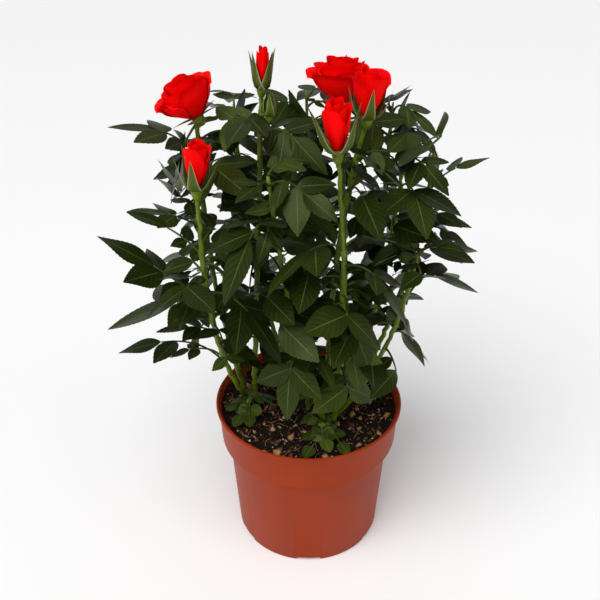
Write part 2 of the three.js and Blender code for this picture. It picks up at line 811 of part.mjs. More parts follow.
// A flower on the tip of its cane, fused to its stalk, with the small bud that some have beside it.
function roseSolid(cane) {
  const lift = CLEARANCE / cane.curve.getLength();
  const { stalk, tip } = CANE_RADIUS;
  const parts = [
    flowerSolid(cane.bloom, cane.bloomSize, point(...cane.tip), cane.nod),
    limb(cane.curve, cane.end + lift, 1, stalk, tip, 6, 4),
  ];
  if (cane.sideBud) {
    const bud = point(...cane.sideBud);
    const fork = cane.curve.getPoint(mix(cane.end, 1, 0.1));
    const side = new THREE.QuadraticBezierCurve3(fork, point(bud.x, bud.y, (fork.z + bud.z) / 2), bud);
    parts.push(flowerSolid("green_bud", 13, bud, point(0, 0, 1)), limb(side, 0, 1, tip, tip * 0.8, 5, 2));
  }
  return joined(parts);
}

// ---------------------------------------------------------------- the bush

function foliageSolid(cane) {
  const { shoot, stalk } = CANE_RADIUS;
  const gap = CLEARANCE / cane.curve.getLength();
  const parts = [limb(cane.curve, cane.start, cane.end - gap, shoot, stalk, 5, 6)];
  for (const { rachis, kept } of cane.grown) {
    const last = Math.max(...kept.map(({ at }) => at));
    const thick = LEAF.rachisRadius;
    parts.push(limb(rachis, 0, Math.min(1, last + 0.03), thick * 1.3, thick * 0.9, 3, 2));
    parts.push(...kept.map((leaflet) => plateSolid(leafletCorners(leaflet))));
  }
  return joined(parts);
}

growLeaves();
for (const cane of canes) {
  const { foot, shoot } = CANE_RADIUS;
  const gap = CLEARANCE / cane.curve.getLength();
  const grownStock = stockSolid(STOCKS[cane.stock], CLEARANCE);
  if (!cane.basal) {
    const bare = limb(cane.curve, 0, cane.start - gap, foot, shoot, 6, 4);
    addNode(`cane_${cane.name}`, bare.subtract(grownStock), materials.cane);
  }
  addNode(`foliage_${cane.name}`, foliageSolid(cane).subtract(grownStock), materials.foliage);
  if (cane.bloom) addNode(`rose_${cane.name}`, roseSolid(cane), materials.petals);
}

export default bush;
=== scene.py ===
import math
from math import cos, pi, radians, sin

import bpy
import numpy as np
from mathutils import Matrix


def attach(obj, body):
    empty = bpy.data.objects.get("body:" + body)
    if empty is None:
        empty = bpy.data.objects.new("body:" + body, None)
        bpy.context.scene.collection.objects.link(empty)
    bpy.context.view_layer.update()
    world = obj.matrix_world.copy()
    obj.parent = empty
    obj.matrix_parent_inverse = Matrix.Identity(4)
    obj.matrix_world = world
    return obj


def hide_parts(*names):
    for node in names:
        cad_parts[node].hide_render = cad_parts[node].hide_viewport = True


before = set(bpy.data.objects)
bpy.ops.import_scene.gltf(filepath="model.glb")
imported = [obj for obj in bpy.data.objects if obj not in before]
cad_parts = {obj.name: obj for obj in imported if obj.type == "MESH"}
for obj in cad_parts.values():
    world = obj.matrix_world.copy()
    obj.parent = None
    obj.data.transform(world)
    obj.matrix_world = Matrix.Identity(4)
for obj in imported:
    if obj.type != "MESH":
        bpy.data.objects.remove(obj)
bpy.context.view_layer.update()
bpy.context.scene.view_settings.view_transform = "Standard"

# ---------------------------------------------------------------- camera, floor and light
# A 50 mm lens looks down on the bush from the front, over a plain pale floor, in soft studio light
# from above with two weak side panels.
camera_data = bpy.data.cameras.new("camera")
camera_data.lens = 50
camera = bpy.data.objects.new("camera", camera_data)
camera.location = (-0.0056, -0.4296, 0.4379)
camera.rotation_euler = (radians(58.44), 0, 0)
bpy.context.scene.collection.objects.link(camera)
bpy.context.scene.camera = camera


def new_material(name, looks):
    """A material whose shader has some sockets set."""
    material = bpy.data.materials.new(name)
    material.use_nodes = True
    for socket, value in looks.items():
        material.node_tree.nodes["Principled BSDF"].inputs[socket].default_value = value
    return material


bpy.ops.mesh.primitive_plane_add(size=30, location=(0, 0, 0))
floor = bpy.context.object
floor.name = "floor"
floor.data.materials.append(
    new_material("pale_floor", {"Base Color": (0.93, 0.93, 0.93, 1), "Roughness": 0.9})
)

world = bpy.data.worlds.new("studio")
world.use_nodes = True
world.node_tree.nodes["Background"].inputs["Color"].default_value = (1, 1, 1, 1)
world.node_tree.nodes["Background"].inputs["Strength"].default_value = 0.34
bpy.context.scene.world = world

sun_data = bpy.data.lights.new("soft_key", "SUN")
sun_data.energy = 2.35
sun_data.angle = radians(50)
sun = bpy.data.objects.new("soft_key", sun_data)
sun.rotation_euler = (radians(28), radians(-16), 0)
bpy.context.scene.collection.objects.link(sun)
for name, place, turn, size, power in (
    ("left_panel", (-1.1, -0.7, 0.7), (66, 0, -58), 0.8, 3.0),
    ("right_panel", (1.1, -0.6, 0.6), (66, 0, 62), 0.8, 2.0),
):
    light = bpy.data.lights.new(name, "AREA")
    light.size = size
    light.energy = power
    lamp = bpy.data.objects.new(name, light)
    lamp.location = place
    lamp.rotation_euler = tuple(radians(angle) for angle in turn)
    bpy.context.scene.collection.objects.link(lamp)

# ---------------------------------------------------------------- pot
# A round nursery pot injection-moulded in thin terracotta-coloured polypropylene: a tapering wall,
# a deep straight band under a small lip, and notches in the foot. Its profile is spun, and the
# notches are cut with boxes.
pot_profile = [
    (0, 0), (46.4, 0), (47.2, 0.3), (47.6, 1.2), (52.35, 71.2), (52.7, 72.1), (53.3, 72.6),
    (56.3, 73.6), (56.9, 74.1), (57.05, 75), (58.3, 96.3), (58.5, 97), (59.2, 97.3), (59.8, 97.6),
    (60, 98.2), (60, 99.3), (59.7, 99.85), (59.2, 100), (58.6, 99.9), (58.2, 99.4), (56.7, 97.2),
    (55.5, 75), (51.2, 71.5), (46, 5.2), (45.4, 4.8), (0, 4.8),
]
NOTCHES = 6
NOTCH_RADIUS = 0.0456
pot_mesh = bpy.data.meshes.new("pot_shell")
pot_mesh.from_pydata(
    [(radius / 1000, 0, height / 1000) for radius, height in pot_profile],
    [(i, i + 1) for i in range(len(pot_profile) - 1)], [],
)
pot = bpy.data.objects.new("pot_shell", pot_mesh)
bpy.context.scene.collection.objects.link(pot)
bpy.ops.object.select_all(action="DESELECT")
pot.select_set(True)
bpy.context.view_layer.objects.active = pot
bpy.ops.object.mode_set(mode="EDIT")
bpy.ops.mesh.select_all(action="SELECT")
bpy.ops.mesh.spin(steps=112, angle=2 * pi, center=(0, 0, 0), axis=(0, 0, 1))
bpy.ops.mesh.select_all(action="SELECT")
bpy.ops.mesh.remove_doubles(threshold=0.00002)
bpy.ops.mesh.normals_make_consistent(inside=False)
bpy.ops.object.mode_set(mode="OBJECT")
for turn in range(NOTCHES):
    angle = radians(-90 + 360 / NOTCHES * turn)
    bpy.ops.mesh.primitive_cube_add(size=1)
    notch = bpy.context.object
    notch.scale = (0.012, 0.016, 0.0052)
    notch.rotation_euler = (0, 0, angle)
    notch.location = (NOTCH_RADIUS * cos(angle), NOTCH_RADIUS * sin(angle), 0)
    bpy.ops.object.transform_apply()
    cut = pot.modifiers.new("notch", "BOOLEAN")
    cut.operation = "DIFFERENCE"
    cut.object = notch
    bpy.context.view_layer.objects.active = pot
    bpy.ops.object.modifier_apply(modifier="notch")
    bpy.data.objects.remove(notch)
bpy.ops.object.select_all(action="DESELECT")
pot.select_set(True)
bpy.context.view_layer.objects.active = pot
bpy.ops.object.shade_smooth_by_angle(angle=radians(28))


def add_node(tree, kind, sockets={}, **settings):
    node = tree.nodes.new(kind)
    for name, value in settings.items():
        setattr(node, name, value)
    for socket, value in sockets.items():
        node.inputs[socket].default_value = value
    return node


def wire(tree, *links):
    """Links between nodes, each (node, its output, node, its input)."""
    for source, output, target, socket in links:
        tree.links.new(source.outputs[output], target.inputs[socket])


pot_material = new_material(
    "terracotta_plastic", {"Specular IOR Level": 0.14, "Specular Tint": (1, 0.62, 0.4, 1)}
)
tree = pot_material.node_tree
shader = tree.nodes["Principled BSDF"]
place = add_node(tree, "ShaderNodeTexCoord")
cloud = add_node(tree, "ShaderNodeTexNoise", {"Scale": 26, "Detail": 3})
speck = add_node(tree, "ShaderNodeTexNoise", {"Scale": 900})
tone = add_node(tree, "ShaderNodeMapRange", {"From Min": 0.3, "From Max": 0.7})
colour = add_node(
    tree, "ShaderNodeMix", {"A": (0.272, 0.029, 0.0055, 1), "B": (0.325, 0.037, 0.008, 1)},
    data_type="RGBA",
)
gloss = add_node(tree, "ShaderNodeMapRange", {"To Min": 0.4, "To Max": 0.54})
bump = add_node(tree, "ShaderNodeBump", {"Strength": 0.06, "Distance": 0.0003})
wire(
    tree,
    (place, "Object", cloud, "Vector"),
    (place, "Object", speck, "Vector"),
    (cloud, "Fac", tone, "Value"),
    (tone, "Result", colour, "Factor"),
    (colour, "Result", shader, "Base Color"),
    (cloud, "Fac", gloss, "Value"),
    (gloss, "Result", shader, "Roughness"),
    (speck, "Fac", bump, "Height"),
    (bump, "Normal", shader, "Normal"),
)
pot.data.materials.append(pot_material)
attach(pot, "root")
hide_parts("pot")

# ---------------------------------------------------------------- compost
# Dark damp peat compost, crumbly on top, with shreds of bark, pale fibres and white perlite. The
# ground is one lumpy disc, and the loose bits are small lumps and shreds scattered on it.
SOIL_LEVEL = 92
GROUND_RADIUS = 56.2
GROUND_SIDES = 180


def unit(vector):
    return vector / np.linalg.norm(vector)


def grid_faces(rows, columns, closed=False):
    faces = []
    for row in range(rows - 1):
        for column in range(columns if closed else columns - 1):
            a = row * columns + column
            b = row * columns + (column + 1) % columns
            faces.append((a, b, b + columns, a + columns))
    return faces


def tube(path, radii, sides):
    """A round limb along a path, as points and faces."""
    tangents = np.gradient(path, axis=0)
    tangents /= np.linalg.norm(tangents, axis=1)[:, None]
    level = (0.31, 0.17, 0.05) if abs(tangents[0][2]) > 0.5 else (0, 0, 1)
    side = unit(np.cross(tangents[0], level))
    rings = []
    turns = np.arange(sides) * 2 * pi / sides
    for at, along, radius in zip(path, tangents, radii):
        side = unit(side - along * side.dot(along))
        other = np.cross(along, side)
        round_it = np.outer(np.cos(turns), side) + np.outer(np.sin(turns), other)
        rings.append(at + np.broadcast_to(radius, (sides,))[:, None] * round_it)
    faces = grid_faces(len(path), sides, closed=True)
    faces.append(tuple(reversed(range(sides))))
    faces.append(tuple(range((len(path) - 1) * sides, len(path) * sides)))
    return np.concatenate(rings), faces


def joined_mesh(name, parts, materials):
    """One object from many small meshes, each (points in mm, faces, material index, uv or None)."""
    points = np.concatenate([part[0] for part in parts]) / 1000
    offsets = np.cumsum([0] + [len(part[0]) for part in parts[:-1]])
    faces = []
    slots = []
    for (_, part_faces, slot, _), offset in zip(parts, offsets):
        for face in part_faces:
            faces.append([index + offset for index in face])
        slots.extend([slot] * len(part_faces))
    mesh = bpy.data.meshes.new(name)
    corners = np.array([index for face in faces for index in face], dtype=np.int32)
    sizes = np.array([len(face) for face in faces], dtype=np.int32)
    mesh.vertices.add(len(points))
    mesh.vertices.foreach_set("co", points.astype(np.float32).ravel())
    mesh.loops.add(len(corners))
    mesh.loops.foreach_set("vertex_index", corners)
    mesh.polygons.add(len(faces))
    mesh.polygons.foreach_set("loop_start", (np.cumsum(sizes) - sizes).astype(np.int32))
    mesh.polygons.foreach_set("material_index", np.array(slots, dtype=np.int32))
    mesh.polygons.foreach_set("use_smooth", np.full(len(faces), True))
    if parts[0][3] is not None:
        places = np.concatenate([part[3] for part in parts])
        layer = mesh.uv_layers.new(name="UVMap")
        layer.data.foreach_set("uv", places[corners].astype(np.float32).ravel())
    mesh.update(calc_edges=True)
    mesh.validate()
    for material in materials:
        mesh.materials.append(material)
    made = bpy.data.objects.new(name, mesh)
    bpy.context.scene.collection.objects.link(made)
    return made


def ground_height(x, y):
    waves = 0
    for k, (along_x, along_y, shift, size) in enumerate([
        (0.11, 0.05, 0.3, 1.0), (-0.07, 0.13, 1.7, 0.8), (0.31, -0.12, 2.2, 0.42),
        (0.17, 0.33, 0.9, 0.4), (-0.52, 0.41, 1.1, 0.26), (0.61, 0.47, 2.9, 0.22),
        (1.13, -0.83, 0.4, 0.16), (0.77, 1.29, 1.9, 0.16),
    ]):
        waves = waves + size * np.sin(along_x * x + along_y * y + shift + k)
    edge = np.clip((np.hypot(x, y) - 42) / 14, 0, 1)
    return SOIL_LEVEL - 0.4 + 0.75 * waves + 1.9 * edge


radii = np.concatenate([[0.01], np.linspace(1, GROUND_RADIUS, 62)])
turns = np.arange(GROUND_SIDES) * 2 * pi / GROUND_SIDES
ring_x = np.outer(radii, np.cos(turns)).ravel()
ring_y = np.outer(radii, np.sin(turns)).ravel()
ground = np.column_stack([ring_x, ring_y, ground_height(ring_x, ring_y)])
ground_faces = [face[::-1] for face in grid_faces(len(radii), GROUND_SIDES, closed=True)]
ground_faces.append(tuple(range(GROUND_SIDES)))
soil_parts = [(ground, ground_faces, 0, None)]
crumbs = np.random.default_rng(7)
octahedron = np.array(
    [(1, 0, 0), (-1, 0, 0), (0, 1, 0), (0, -1, 0), (0, 0, 1), (0, 0, -1)], dtype=float
)
octahedron_faces = [
    (0, 2, 4), (2, 1, 4), (1, 3, 4), (3, 0, 4), (2, 0, 5), (1, 2, 5), (3, 1, 5), (0, 3, 5),
]
# Of peat, bark, straw, perlite and clay: how many bits, material, least and greatest size, flatness
for count, slot, low, high, flat in (
    (2300, 0, 0.5, 1.5, 0.75), (520, 1, 0.8, 2.6, 0.45), (150, 2, 0.8, 3.4, 0.4),
    (110, 3, 0.45, 1.1, 0.9), (3, 4, 1.6, 2.4, 0.5),
):
    for _ in range(count):
        out = 55.4 * math.sqrt(crumbs.random())
        turn = crumbs.random() * 2 * pi
        size = low + (high - low) * crumbs.random() ** 2
        shape = octahedron * size * (0.6 + 0.8 * crumbs.random((6, 1)))
        shape = shape * (1, 0.5 + 0.5 * crumbs.random(), flat)
        tilt = 0.5 * crumbs.standard_normal(3)
        c, s = cos(turn * 3.1), sin(turn * 3.1)
        shape = shape @ np.array([[c, s, 0], [-s, c, 0], [0, 0, 1]])
        shape[:, 2] += shape[:, 0] * tilt[0] + shape[:, 1] * tilt[1]
        x, y = out * cos(turn), out * sin(turn)
        shape = shape + (x, y, ground_height(x, y) + 0.25 * size)
        soil_parts.append((shape, octahedron_faces, slot, None))
FIBRES = 90
for _ in range(FIBRES):
    out = 52 * math.sqrt(crumbs.random())
    turn = crumbs.random() * 2 * pi
    start = np.array([out * cos(turn), out * sin(turn)])
    heading = crumbs.random() * 2 * pi
    path = []
    for step in range(6):
        path.append(start.copy())
        heading += 0.5 * crumbs.standard_normal()
        start += (1.1 + crumbs.random()) * np.array([cos(heading), sin(heading)])
    path = np.array(path)
    path = path[np.hypot(path[:, 0], path[:, 1]) < 55]
    if len(path) > 2:
        heights = ground_height(path[:, 0], path[:, 1]) + 0.35
        points, faces = tube(np.column_stack([path, heights]), np.full(len(path), 0.2), 4)
        soil_parts.append((points, faces, 2, None))


def new_group(name, inputs, outputs):
    """An empty node group with named sockets, and its two end nodes."""
    group = bpy.data.node_groups.new(name, "ShaderNodeTree")
    for sockets, way in ((inputs, "INPUT"), (outputs, "OUTPUT")):
        for socket, kind in sockets.items():
            group.interface.new_socket(socket, in_out=way, socket_type="NodeSocket" + kind)
    return group, add_node(group, "NodeGroupInput"), add_node(group, "NodeGroupOutput")


grain, given, out = new_group("grain", {
    "Scale": "Float", "Detail": "Float", "From": "Float", "To": "Float", "Dark": "Color",
    "Light": "Color", "Strength": "Float", "Depth": "Float",
}, {"Color": "Color", "Normal": "Vector"})
place = add_node(grain, "ShaderNodeTexCoord")
noise = add_node(grain, "ShaderNodeTexNoise")
tone = add_node(grain, "ShaderNodeMapRange")
colour = add_node(grain, "ShaderNodeMix", data_type="RGBA")
bump = add_node(grain, "ShaderNodeBump")
wire(
    grain,
    (place, "Object", noise, "Vector"),
    (given, "Scale", noise, "Scale"),
    (given, "Detail", noise, "Detail"),
    (noise, "Fac", tone, "Value"),
    (given, "From", tone, "From Min"),
    (given, "To", tone, "From Max"),
    (tone, "Result", colour, "Factor"),
    (given, "Dark", colour, "A"),
    (given, "Light", colour, "B"),
    (colour, "Result", out, "Color"),
    (noise, "Fac", bump, "Height"),
    (given, "Strength", bump, "Strength"),
    (given, "Depth", bump, "Distance"),
    (bump, "Normal", out, "Normal"),
)


def grained(name, looks, dark, light, scale, detail, span, strength, depth):
    """A material that varies between two tones, with its surface rough in the same places."""
    material = new_material(name, looks)
    tree = material.node_tree
    shader = tree.nodes["Principled BSDF"]
    node = add_node(tree, "ShaderNodeGroup", {
        "Scale": scale, "Detail": detail, "From": span[0], "To": span[1], "Dark": (*dark, 1),
        "Light": (*light, 1), "Strength": strength, "Depth": depth,
    }, node_tree=grain)
    wire(
        tree,
        (node, "Color", shader, "Base Color"),
        (node, "Normal", shader, "Normal"),
    )
    return material


soil_materials = [
    grained(
        name, {"Roughness": rough, "Specular IOR Level": 0.16}, dark, light,
        scale=scale, detail=6, span=(0.35, 0.68), strength=0.7, depth=0.0012,
    )
    for name, dark, light, rough, scale in (
        ("peat", (0.004, 0.0026, 0.0016), (0.028, 0.016, 0.010), 0.9, 700),
        ("bark_shreds", (0.05, 0.022, 0.010), (0.16, 0.07, 0.03), 0.8, 400),
        ("straw_shreds", (0.28, 0.14, 0.055), (0.5, 0.3, 0.14), 0.75, 400),
        ("perlite", (0.55, 0.53, 0.49), (0.8, 0.79, 0.75), 0.95, 900),
        ("clay_chips", (0.3, 0.05, 0.03), (0.45, 0.09, 0.05), 0.8, 300),
    )
]
soil = joined_mesh("compost", soil_parts, soil_materials)
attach(soil, "root")
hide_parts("soil")

# ---------------------------------------------------------------- the habit of the bush
# Canes rise from four stocks, and each turns into a leafy shoot. Leaves of three or five leaflets
# stand on the shoots by a seeded rule: each finds the best of a few turns and sizes in the space
# that is still free. Millimetres; the crown's rows are height, left, right, front and back.
LEAF = {
    "rachis": 0.85, "droop": 66, "tip_width": 0.58, "side_width": 0.72,
    "pairs": [
        {"at": 0.46, "spread": 68, "scale": 0.62}, {"at": 0.84, "spread": 56, "scale": 0.84},
    ],
}
PHYLLOTAXIS = 144
TRIES = 10
CROWDING = 0.66
CELL = 2.7
LIMB_MARGIN = 2.9
ROSE_MARGIN = 1.5
CROWN = [
    (92, -46, 46, -52, 50), (122, -62, 54, -67, 62), (142, -77, 57, -74, 79),
    (180, -88, 80, -82, 86), (240, -86, 86, -84, 90), (285, -82, 78, -74, 86),
    (300, -60, 58, -56, 58),
]
STOCKS = {
    "left": {"x": -39, "y": 8}, "front": {"x": 13, "y": -19}, "right": {"x": 30, "y": 20},
    "back": {"x": -8, "y": 34},
}
CANE_COLUMNS = (
    "name", "stock", "side", "via", "tip", "leafy", "leaves", "bearing", "leaflet", "seed",
    "extras", "placed",
)
CANES = [dict(zip(CANE_COLUMNS, row)) for row in [
    ("front_left", "left", -140, (-60, -40, 165), (-58, -40, 265), (122, 230),
     7, 20, 40, 79, {"bloom": "opening", "bloom_size": 26, "nod": (0.05, 0)}, [
         (131, (-115, -20, 150), 27, -11), (196, (-114, -30, 234), 34, 33),
         (188, (-117, -30, 174), 46, -23), (226, (-98, -25, 246), 24, 17),
     ]),
    ("left", "left", 143, (-66, 16, 185), (-61, 4, 288), (135, 277),
     10, 50, 39, 4, {"bloom": "open", "bloom_size": 35, "nod": (-0.5, 0)}, [
         (262, (-111, 10, 282), 28, 8), (203, (-97, -8, 222), 25, 19),
         (244, (-82, -6, 268), 24, 66),
     ]),
    ("centre_left", "left", 10, (-31, -6, 190), (-26, 8, 302), (200, 286),
     9, 160, 39, 37, {
         "bloom": "bud", "bloom_size": 21, "nod": (0.04, 0.02), "side_bud": (-22, 2, 289),
     }, []),
    ("centre_right", "right", 190, (22, 22, 190), (17, 14, 293), (190, 284),
     9, 340, 39, 453, {"bloom": "open", "bloom_size": 37, "nod": (0.02, 0.12)}, []),
    ("right_half_open", "front", 112, (10, -4, 205), (29, -14, 293), (210, 270),
     5, 330, 38, 59, {"bloom": "half_open", "bloom_size": 27, "nod": (0.06, 0.02)}, []),
    ("front_right", "front", -38, (23, -38, 190), (13, -41, 285), (140, 232),
     7, 215, 39, 67, {"bloom": "opening", "bloom_size": 28, "nod": (-0.06, 0)}, [
         (180, (38, -56, 153), 34, -52),
     ]),
    ("far_right", "right", -28, (62, 14, 165), (69, 9, 254), (150, 249),
     7, 30, 37, 620, {"bloom": "green_bud", "bloom_size": 13, "nod": (0, 0)}, [
         (238, (101, 10, 262), 20, 20), (204, (92, -4, 228), 30, 6),
     ]),
    ("right", "right", -104, (46, 0, 180), (51, -4, 269), (180, 268),
     8, 10, 39, 79, {}, [(262, (78, 0, 281), 34, 24)]),
    ("right_low", "front", 37, (52, -20, 145), (58, -30, 222), (138, 221),
     5, 120, 39, 122, {}, [
         (216, (96, -12, 217), 32, -12), (196, (98, -20, 194), 30, -20),
         (166, (74, -20, 142), 30, -50),
     ]),
    ("front_centre", "front", -172, (-8, -42, 150), (-22, -36, 270), (135, 269),
     12, 310, 39, 61, {}, [(157, (-14, -54, 124), 30, -78)]),
    ("back_left", "back", 165, (-44, 46, 165), (-44, 44, 284), (140, 283),
     10, 150, 39, 417, {}, [(262, (-38, 40, 292), 20, 75)]),
    ("back_centre", "back", 60, (2, 54, 180), (-2, 42, 290), (140, 289),
     10, 70, 39, 31, {}, [(256, (-10, 36, 294), 28, 72)]),
    ("back_right", "right", 70, (46, 50, 170), (48, 38, 284), (140, 283),
     9, 160, 39, 238, {}, [(252, (56, 41, 290), 26, 78)]),
    ("basal_front", "front", -105, (12, -32, 102), (6, -39, 110), (97, 110),
     2, 120, 14, 346, {"basal": True}, []),
    ("basal_left", "left", -72, (-37, -8, 103), (-38, -16, 109), (97, 109),
     2, 50, 14, 512, {"basal": True}, []),
]]
STOCK = {"radius": 3.9, "flare": 1.2, "height": 8}
FOOT = {"out": 3.4, "depth": 3}
POT_RIM = {"height": 100, "inside": 57, "outside": 60}
BLOOM_REACH = 0.56


def mix(a, b, share):
    return a + (b - a) * share


def draws(seed):
    state = seed

    def draw():
        nonlocal state
        state = (state * 48271) % 2147483647
        return state / 2147483647

    return draw


def bend(curve, t):
    a, b, c = curve
    return a * (1 - t) ** 2 + b * (2 * (1 - t) * t) + c * t ** 2


def tangent(curve, t):
    return unit(bend(curve, min(1, t + 0.0001)) - bend(curve, max(0, t - 0.0001)))


def turned(vector, axis, angle):
    aside = np.cross(axis, vector) * sin(angle)
    return vector * cos(angle) + aside + axis * axis.dot(vector) * (1 - cos(angle))


def share_at(curve, height):
    low, high = 0, 1
    for _ in range(30):
        middle = (low + high) / 2
        if bend(curve, middle)[2] < height:
            low = middle
        else:
            high = middle
    return (low + high) / 2


for index, cane in enumerate(CANES):
    stock = STOCKS[cane["stock"]]
    side = radians(cane["side"])
    foot = np.array([
        stock["x"] + FOOT["out"] * cos(side), stock["y"] + FOOT["out"] * sin(side),
        SOIL_LEVEL + STOCK["height"] - FOOT["depth"],
    ])
    cane.update(cane.pop("extras"), index=index)
    via, tip = (np.array(cane[end], dtype=float) for end in ("via", "tip"))
    cane["curve"] = (foot, via, tip)
    cane["start"], cane["end"] = (share_at(cane["curve"], height) for height in cane["leafy"])

    def stretch(start, end, curve=cane["curve"]):
        return np.array([bend(curve, mix(start, end, k / 8)) for k in range(9)])

    cane["shoot"] = stretch(cane["start"], cane["end"])
    cane["bare"] = [] if cane.get("basal") else [stretch(0, cane["start"])]
    if cane.get("bloom"):
        cane["nod"] = unit(np.array([cane["nod"][0], cane["nod"][1], 1.0]))
        cane["heart"] = cane["curve"][2] + cane["nod"] * cane["bloom_size"] * 0.4
        cane["bare"].append(stretch(cane["end"], 1))
    cane["draw"] = draws(cane["seed"])
    cane["grown"] = []
    cane["middles"] = []


def distance_to_line(points, line):
    starts, ways = line[:-1], line[1:] - line[:-1]
    share = np.einsum("pkc,kc->pk", points[:, None] - starts, ways)
    share = share / np.einsum("kc,kc->k", ways, ways)
    nearest = starts + np.clip(share, 0, 1)[:, :, None] * ways
    return np.linalg.norm(points[:, None] - nearest, axis=2).min(axis=1)


taken = np.zeros((256, 256, 256), dtype=np.int64)


def cells_of(points):
    return tuple((np.floor(points / CELL).astype(int) + (128, 128, 0)).T)


def take(points, mass):
    for step in np.ndindex(3, 3, 3):
        taken[cells_of(points + (np.array(step) - 1) * CELL)] |= 1 << mass


def in_oval(x, y, left, right, front, back, bulge):
    across = np.where(x < 0, x / left, x / right)
    deep = np.where(y < 0, y / front, y / back)
    return (across <= 1) & (deep <= 1) & (across ** 4 + deep ** 4 < bulge)


def inside_crown(points):
    x, y, z = points.T
    heights, *sides = np.array(CROWN, dtype=float).T
    level = (z >= heights[0]) & (z < heights[-1])
    return level & in_oval(x, y, *(np.interp(z, heights, side) for side in sides), 1.25)


def room_at(points, cane, placed):
    """Which points lie in the crown, in free space, out of the pot and clear of limbs and roses."""
    x, y, z = points.T
    good = np.full(len(points), True) if placed else inside_crown(points)
    if not good.any():
        return good
    good &= (taken[cells_of(points)] & ~(1 << cane["index"])) == 0
    out = np.hypot(x, y)
    good &= z >= SOIL_LEVEL + 1.5
    over_rim = (out < POT_RIM["outside"] + 2) & (out > POT_RIM["inside"] - 5)
    good &= ~(over_rim & (z < POT_RIM["height"] + 1.5))
    for stock in STOCKS.values():
        near = np.hypot(x - stock["x"], y - stock["y"]) < STOCK["radius"] + STOCK["flare"] + 1.2
        good &= ~(near & (z < SOIL_LEVEL + STOCK["height"] + 2))
    for other in CANES:
        if not good.any():
            return good
        if other is not cane:
            good &= distance_to_line(points, other["shoot"]) >= LIMB_MARGIN
        for line in other["bare"]:
            good &= distance_to_line(points, line) >= LIMB_MARGIN
        if other.get("bloom"):
            far = np.linalg.norm(points - other["heart"], axis=1)
            good &= far >= other["bloom_size"] * BLOOM_REACH + ROSE_MARGIN
    return good


def compound_leaf(root, habit, draw):
    def heading(pitch):
        bearing = radians(habit["bearing"])
        pitch = radians(pitch)
        return np.array([cos(bearing) * cos(pitch), sin(bearing) * cos(pitch), sin(pitch)])

    knee = root + heading(habit["rise"]) * habit["rachis"] / 2
    end = knee + heading(habit["rise"] - habit["droop"]) * habit["rachis"] / 2
    rachis = (root, knee, end)
    level = np.array([-sin(radians(habit["bearing"])), cos(radians(habit["bearing"])), 0])
    roll = radians(70 * habit["loose"] * (draw() - 0.5))
    leaflets = []

    def add(at, turn, length, width):
        along = tangent(rachis, at)
        up = unit(turned(np.cross(along, level), along, roll))
        aside = turned(along, up, radians(turn + 16 * habit["loose"] * (draw() - 0.5)))
        tipped = unit(aside + up * (-0.1 + 0.46 * habit["loose"] * (draw() - 0.5)))
        lateral = unit(np.cross(up, tipped))
        leaflets.append({
            "at": at, "base": bend(rachis, at), "along": tipped, "lateral": lateral,
            "up": np.cross(tipped, lateral), "width": width * habit["broad"],
            "length": length * (1 + 0.16 * habit["loose"] * (draw() - 0.5)),
        })

    for pair in LEAF["pairs"]:
        add(pair["at"], pair["spread"], habit["size"] * pair["scale"], LEAF["side_width"])
        add(pair["at"], -pair["spread"], habit["size"] * pair["scale"], LEAF["side_width"])
    add(1, 0, habit["size"], LEAF["tip_width"])
    return rachis, leaflets


def habit_to(root, tip, size, slope):
    """The habit of a leaf whose tip leaflet ends at a given place with a given slope."""
    bearing = math.atan2(tip[1] - root[1], tip[0] - root[0])
    run = size * cos(radians(slope))
    base = tip - np.array([run * cos(bearing), run * sin(bearing), size * sin(radians(slope))])
    reach = base - root
    level_reach = reach[0] * cos(bearing) + reach[1] * sin(bearing)
    rachis_slope = math.degrees(math.atan2(reach[2], level_reach))
    droop = 2 * (rachis_slope - slope - 6)
    return {
        "bearing": math.degrees(bearing), "rise": rachis_slope + droop / 2, "droop": droop,
        "rachis": np.linalg.norm(reach) / cos(radians(droop / 2)), "size": size, "loose": 0,
    }


def leaflet_points(leaflet):
    share = 0.04 + 0.08 * np.arange(13)
    half = 0.5 * leaflet["width"] * leaflet["length"] * np.sin(pi * share ** 0.8)
    side = np.arange(-1, 1.01, 0.25)
    length = leaflet["length"]
    middle = leaflet["base"] + np.outer(share * length, leaflet["along"])
    middle = middle - np.outer(0.07 * length * share ** 2, leaflet["up"])
    wide = np.multiply.outer(half, side)
    points = middle[:, None] + wide[:, :, None] * leaflet["lateral"]
    points = points + 0.12 * np.abs(wide)[:, :, None] * leaflet["up"]
    return points.reshape(-1, 3)


def middle_of(leaflet):
    return leaflet["base"] + leaflet["along"] * (leaflet["length"] / 2)


def pruned(rachis, leaflets, cane, placed=False):
    """The leaf with only the leaflets that have room, and how much it is worth."""
    steps = room_at(np.array([bend(rachis, k / 12) for k in range(2, 13)]), cane, placed)
    reach = 1 if steps.all() else (int(np.argmin(steps)) + 1) / 12
    kept = []
    for leaflet in leaflets:
        if leaflet["at"] <= reach and room_at(leaflet_points(leaflet), cane, placed).all():
            kept.append(leaflet)
    worth = 0
    for leaflet in kept:
        gap = 1
        if cane["middles"]:
            gaps = np.linalg.norm(np.array(cane["middles"]) - middle_of(leaflet), axis=1)
            gap = min(1, gaps.min() / (0.6 * leaflet["length"]))
        worth += leaflet["length"] ** 2 * gap ** 2
    return rachis, kept, worth


def keep(cane, leaf, small):
    rachis, kept, _ = leaf
    if kept:
        cane["grown"].append((rachis, kept, small))
        cane["middles"].extend(middle_of(leaflet) for leaflet in kept)
        for leaflet in kept:
            take(leaflet_points(leaflet), cane["index"])
        take(np.array([bend(rachis, k / 12) for k in range(13)]), cane["index"])


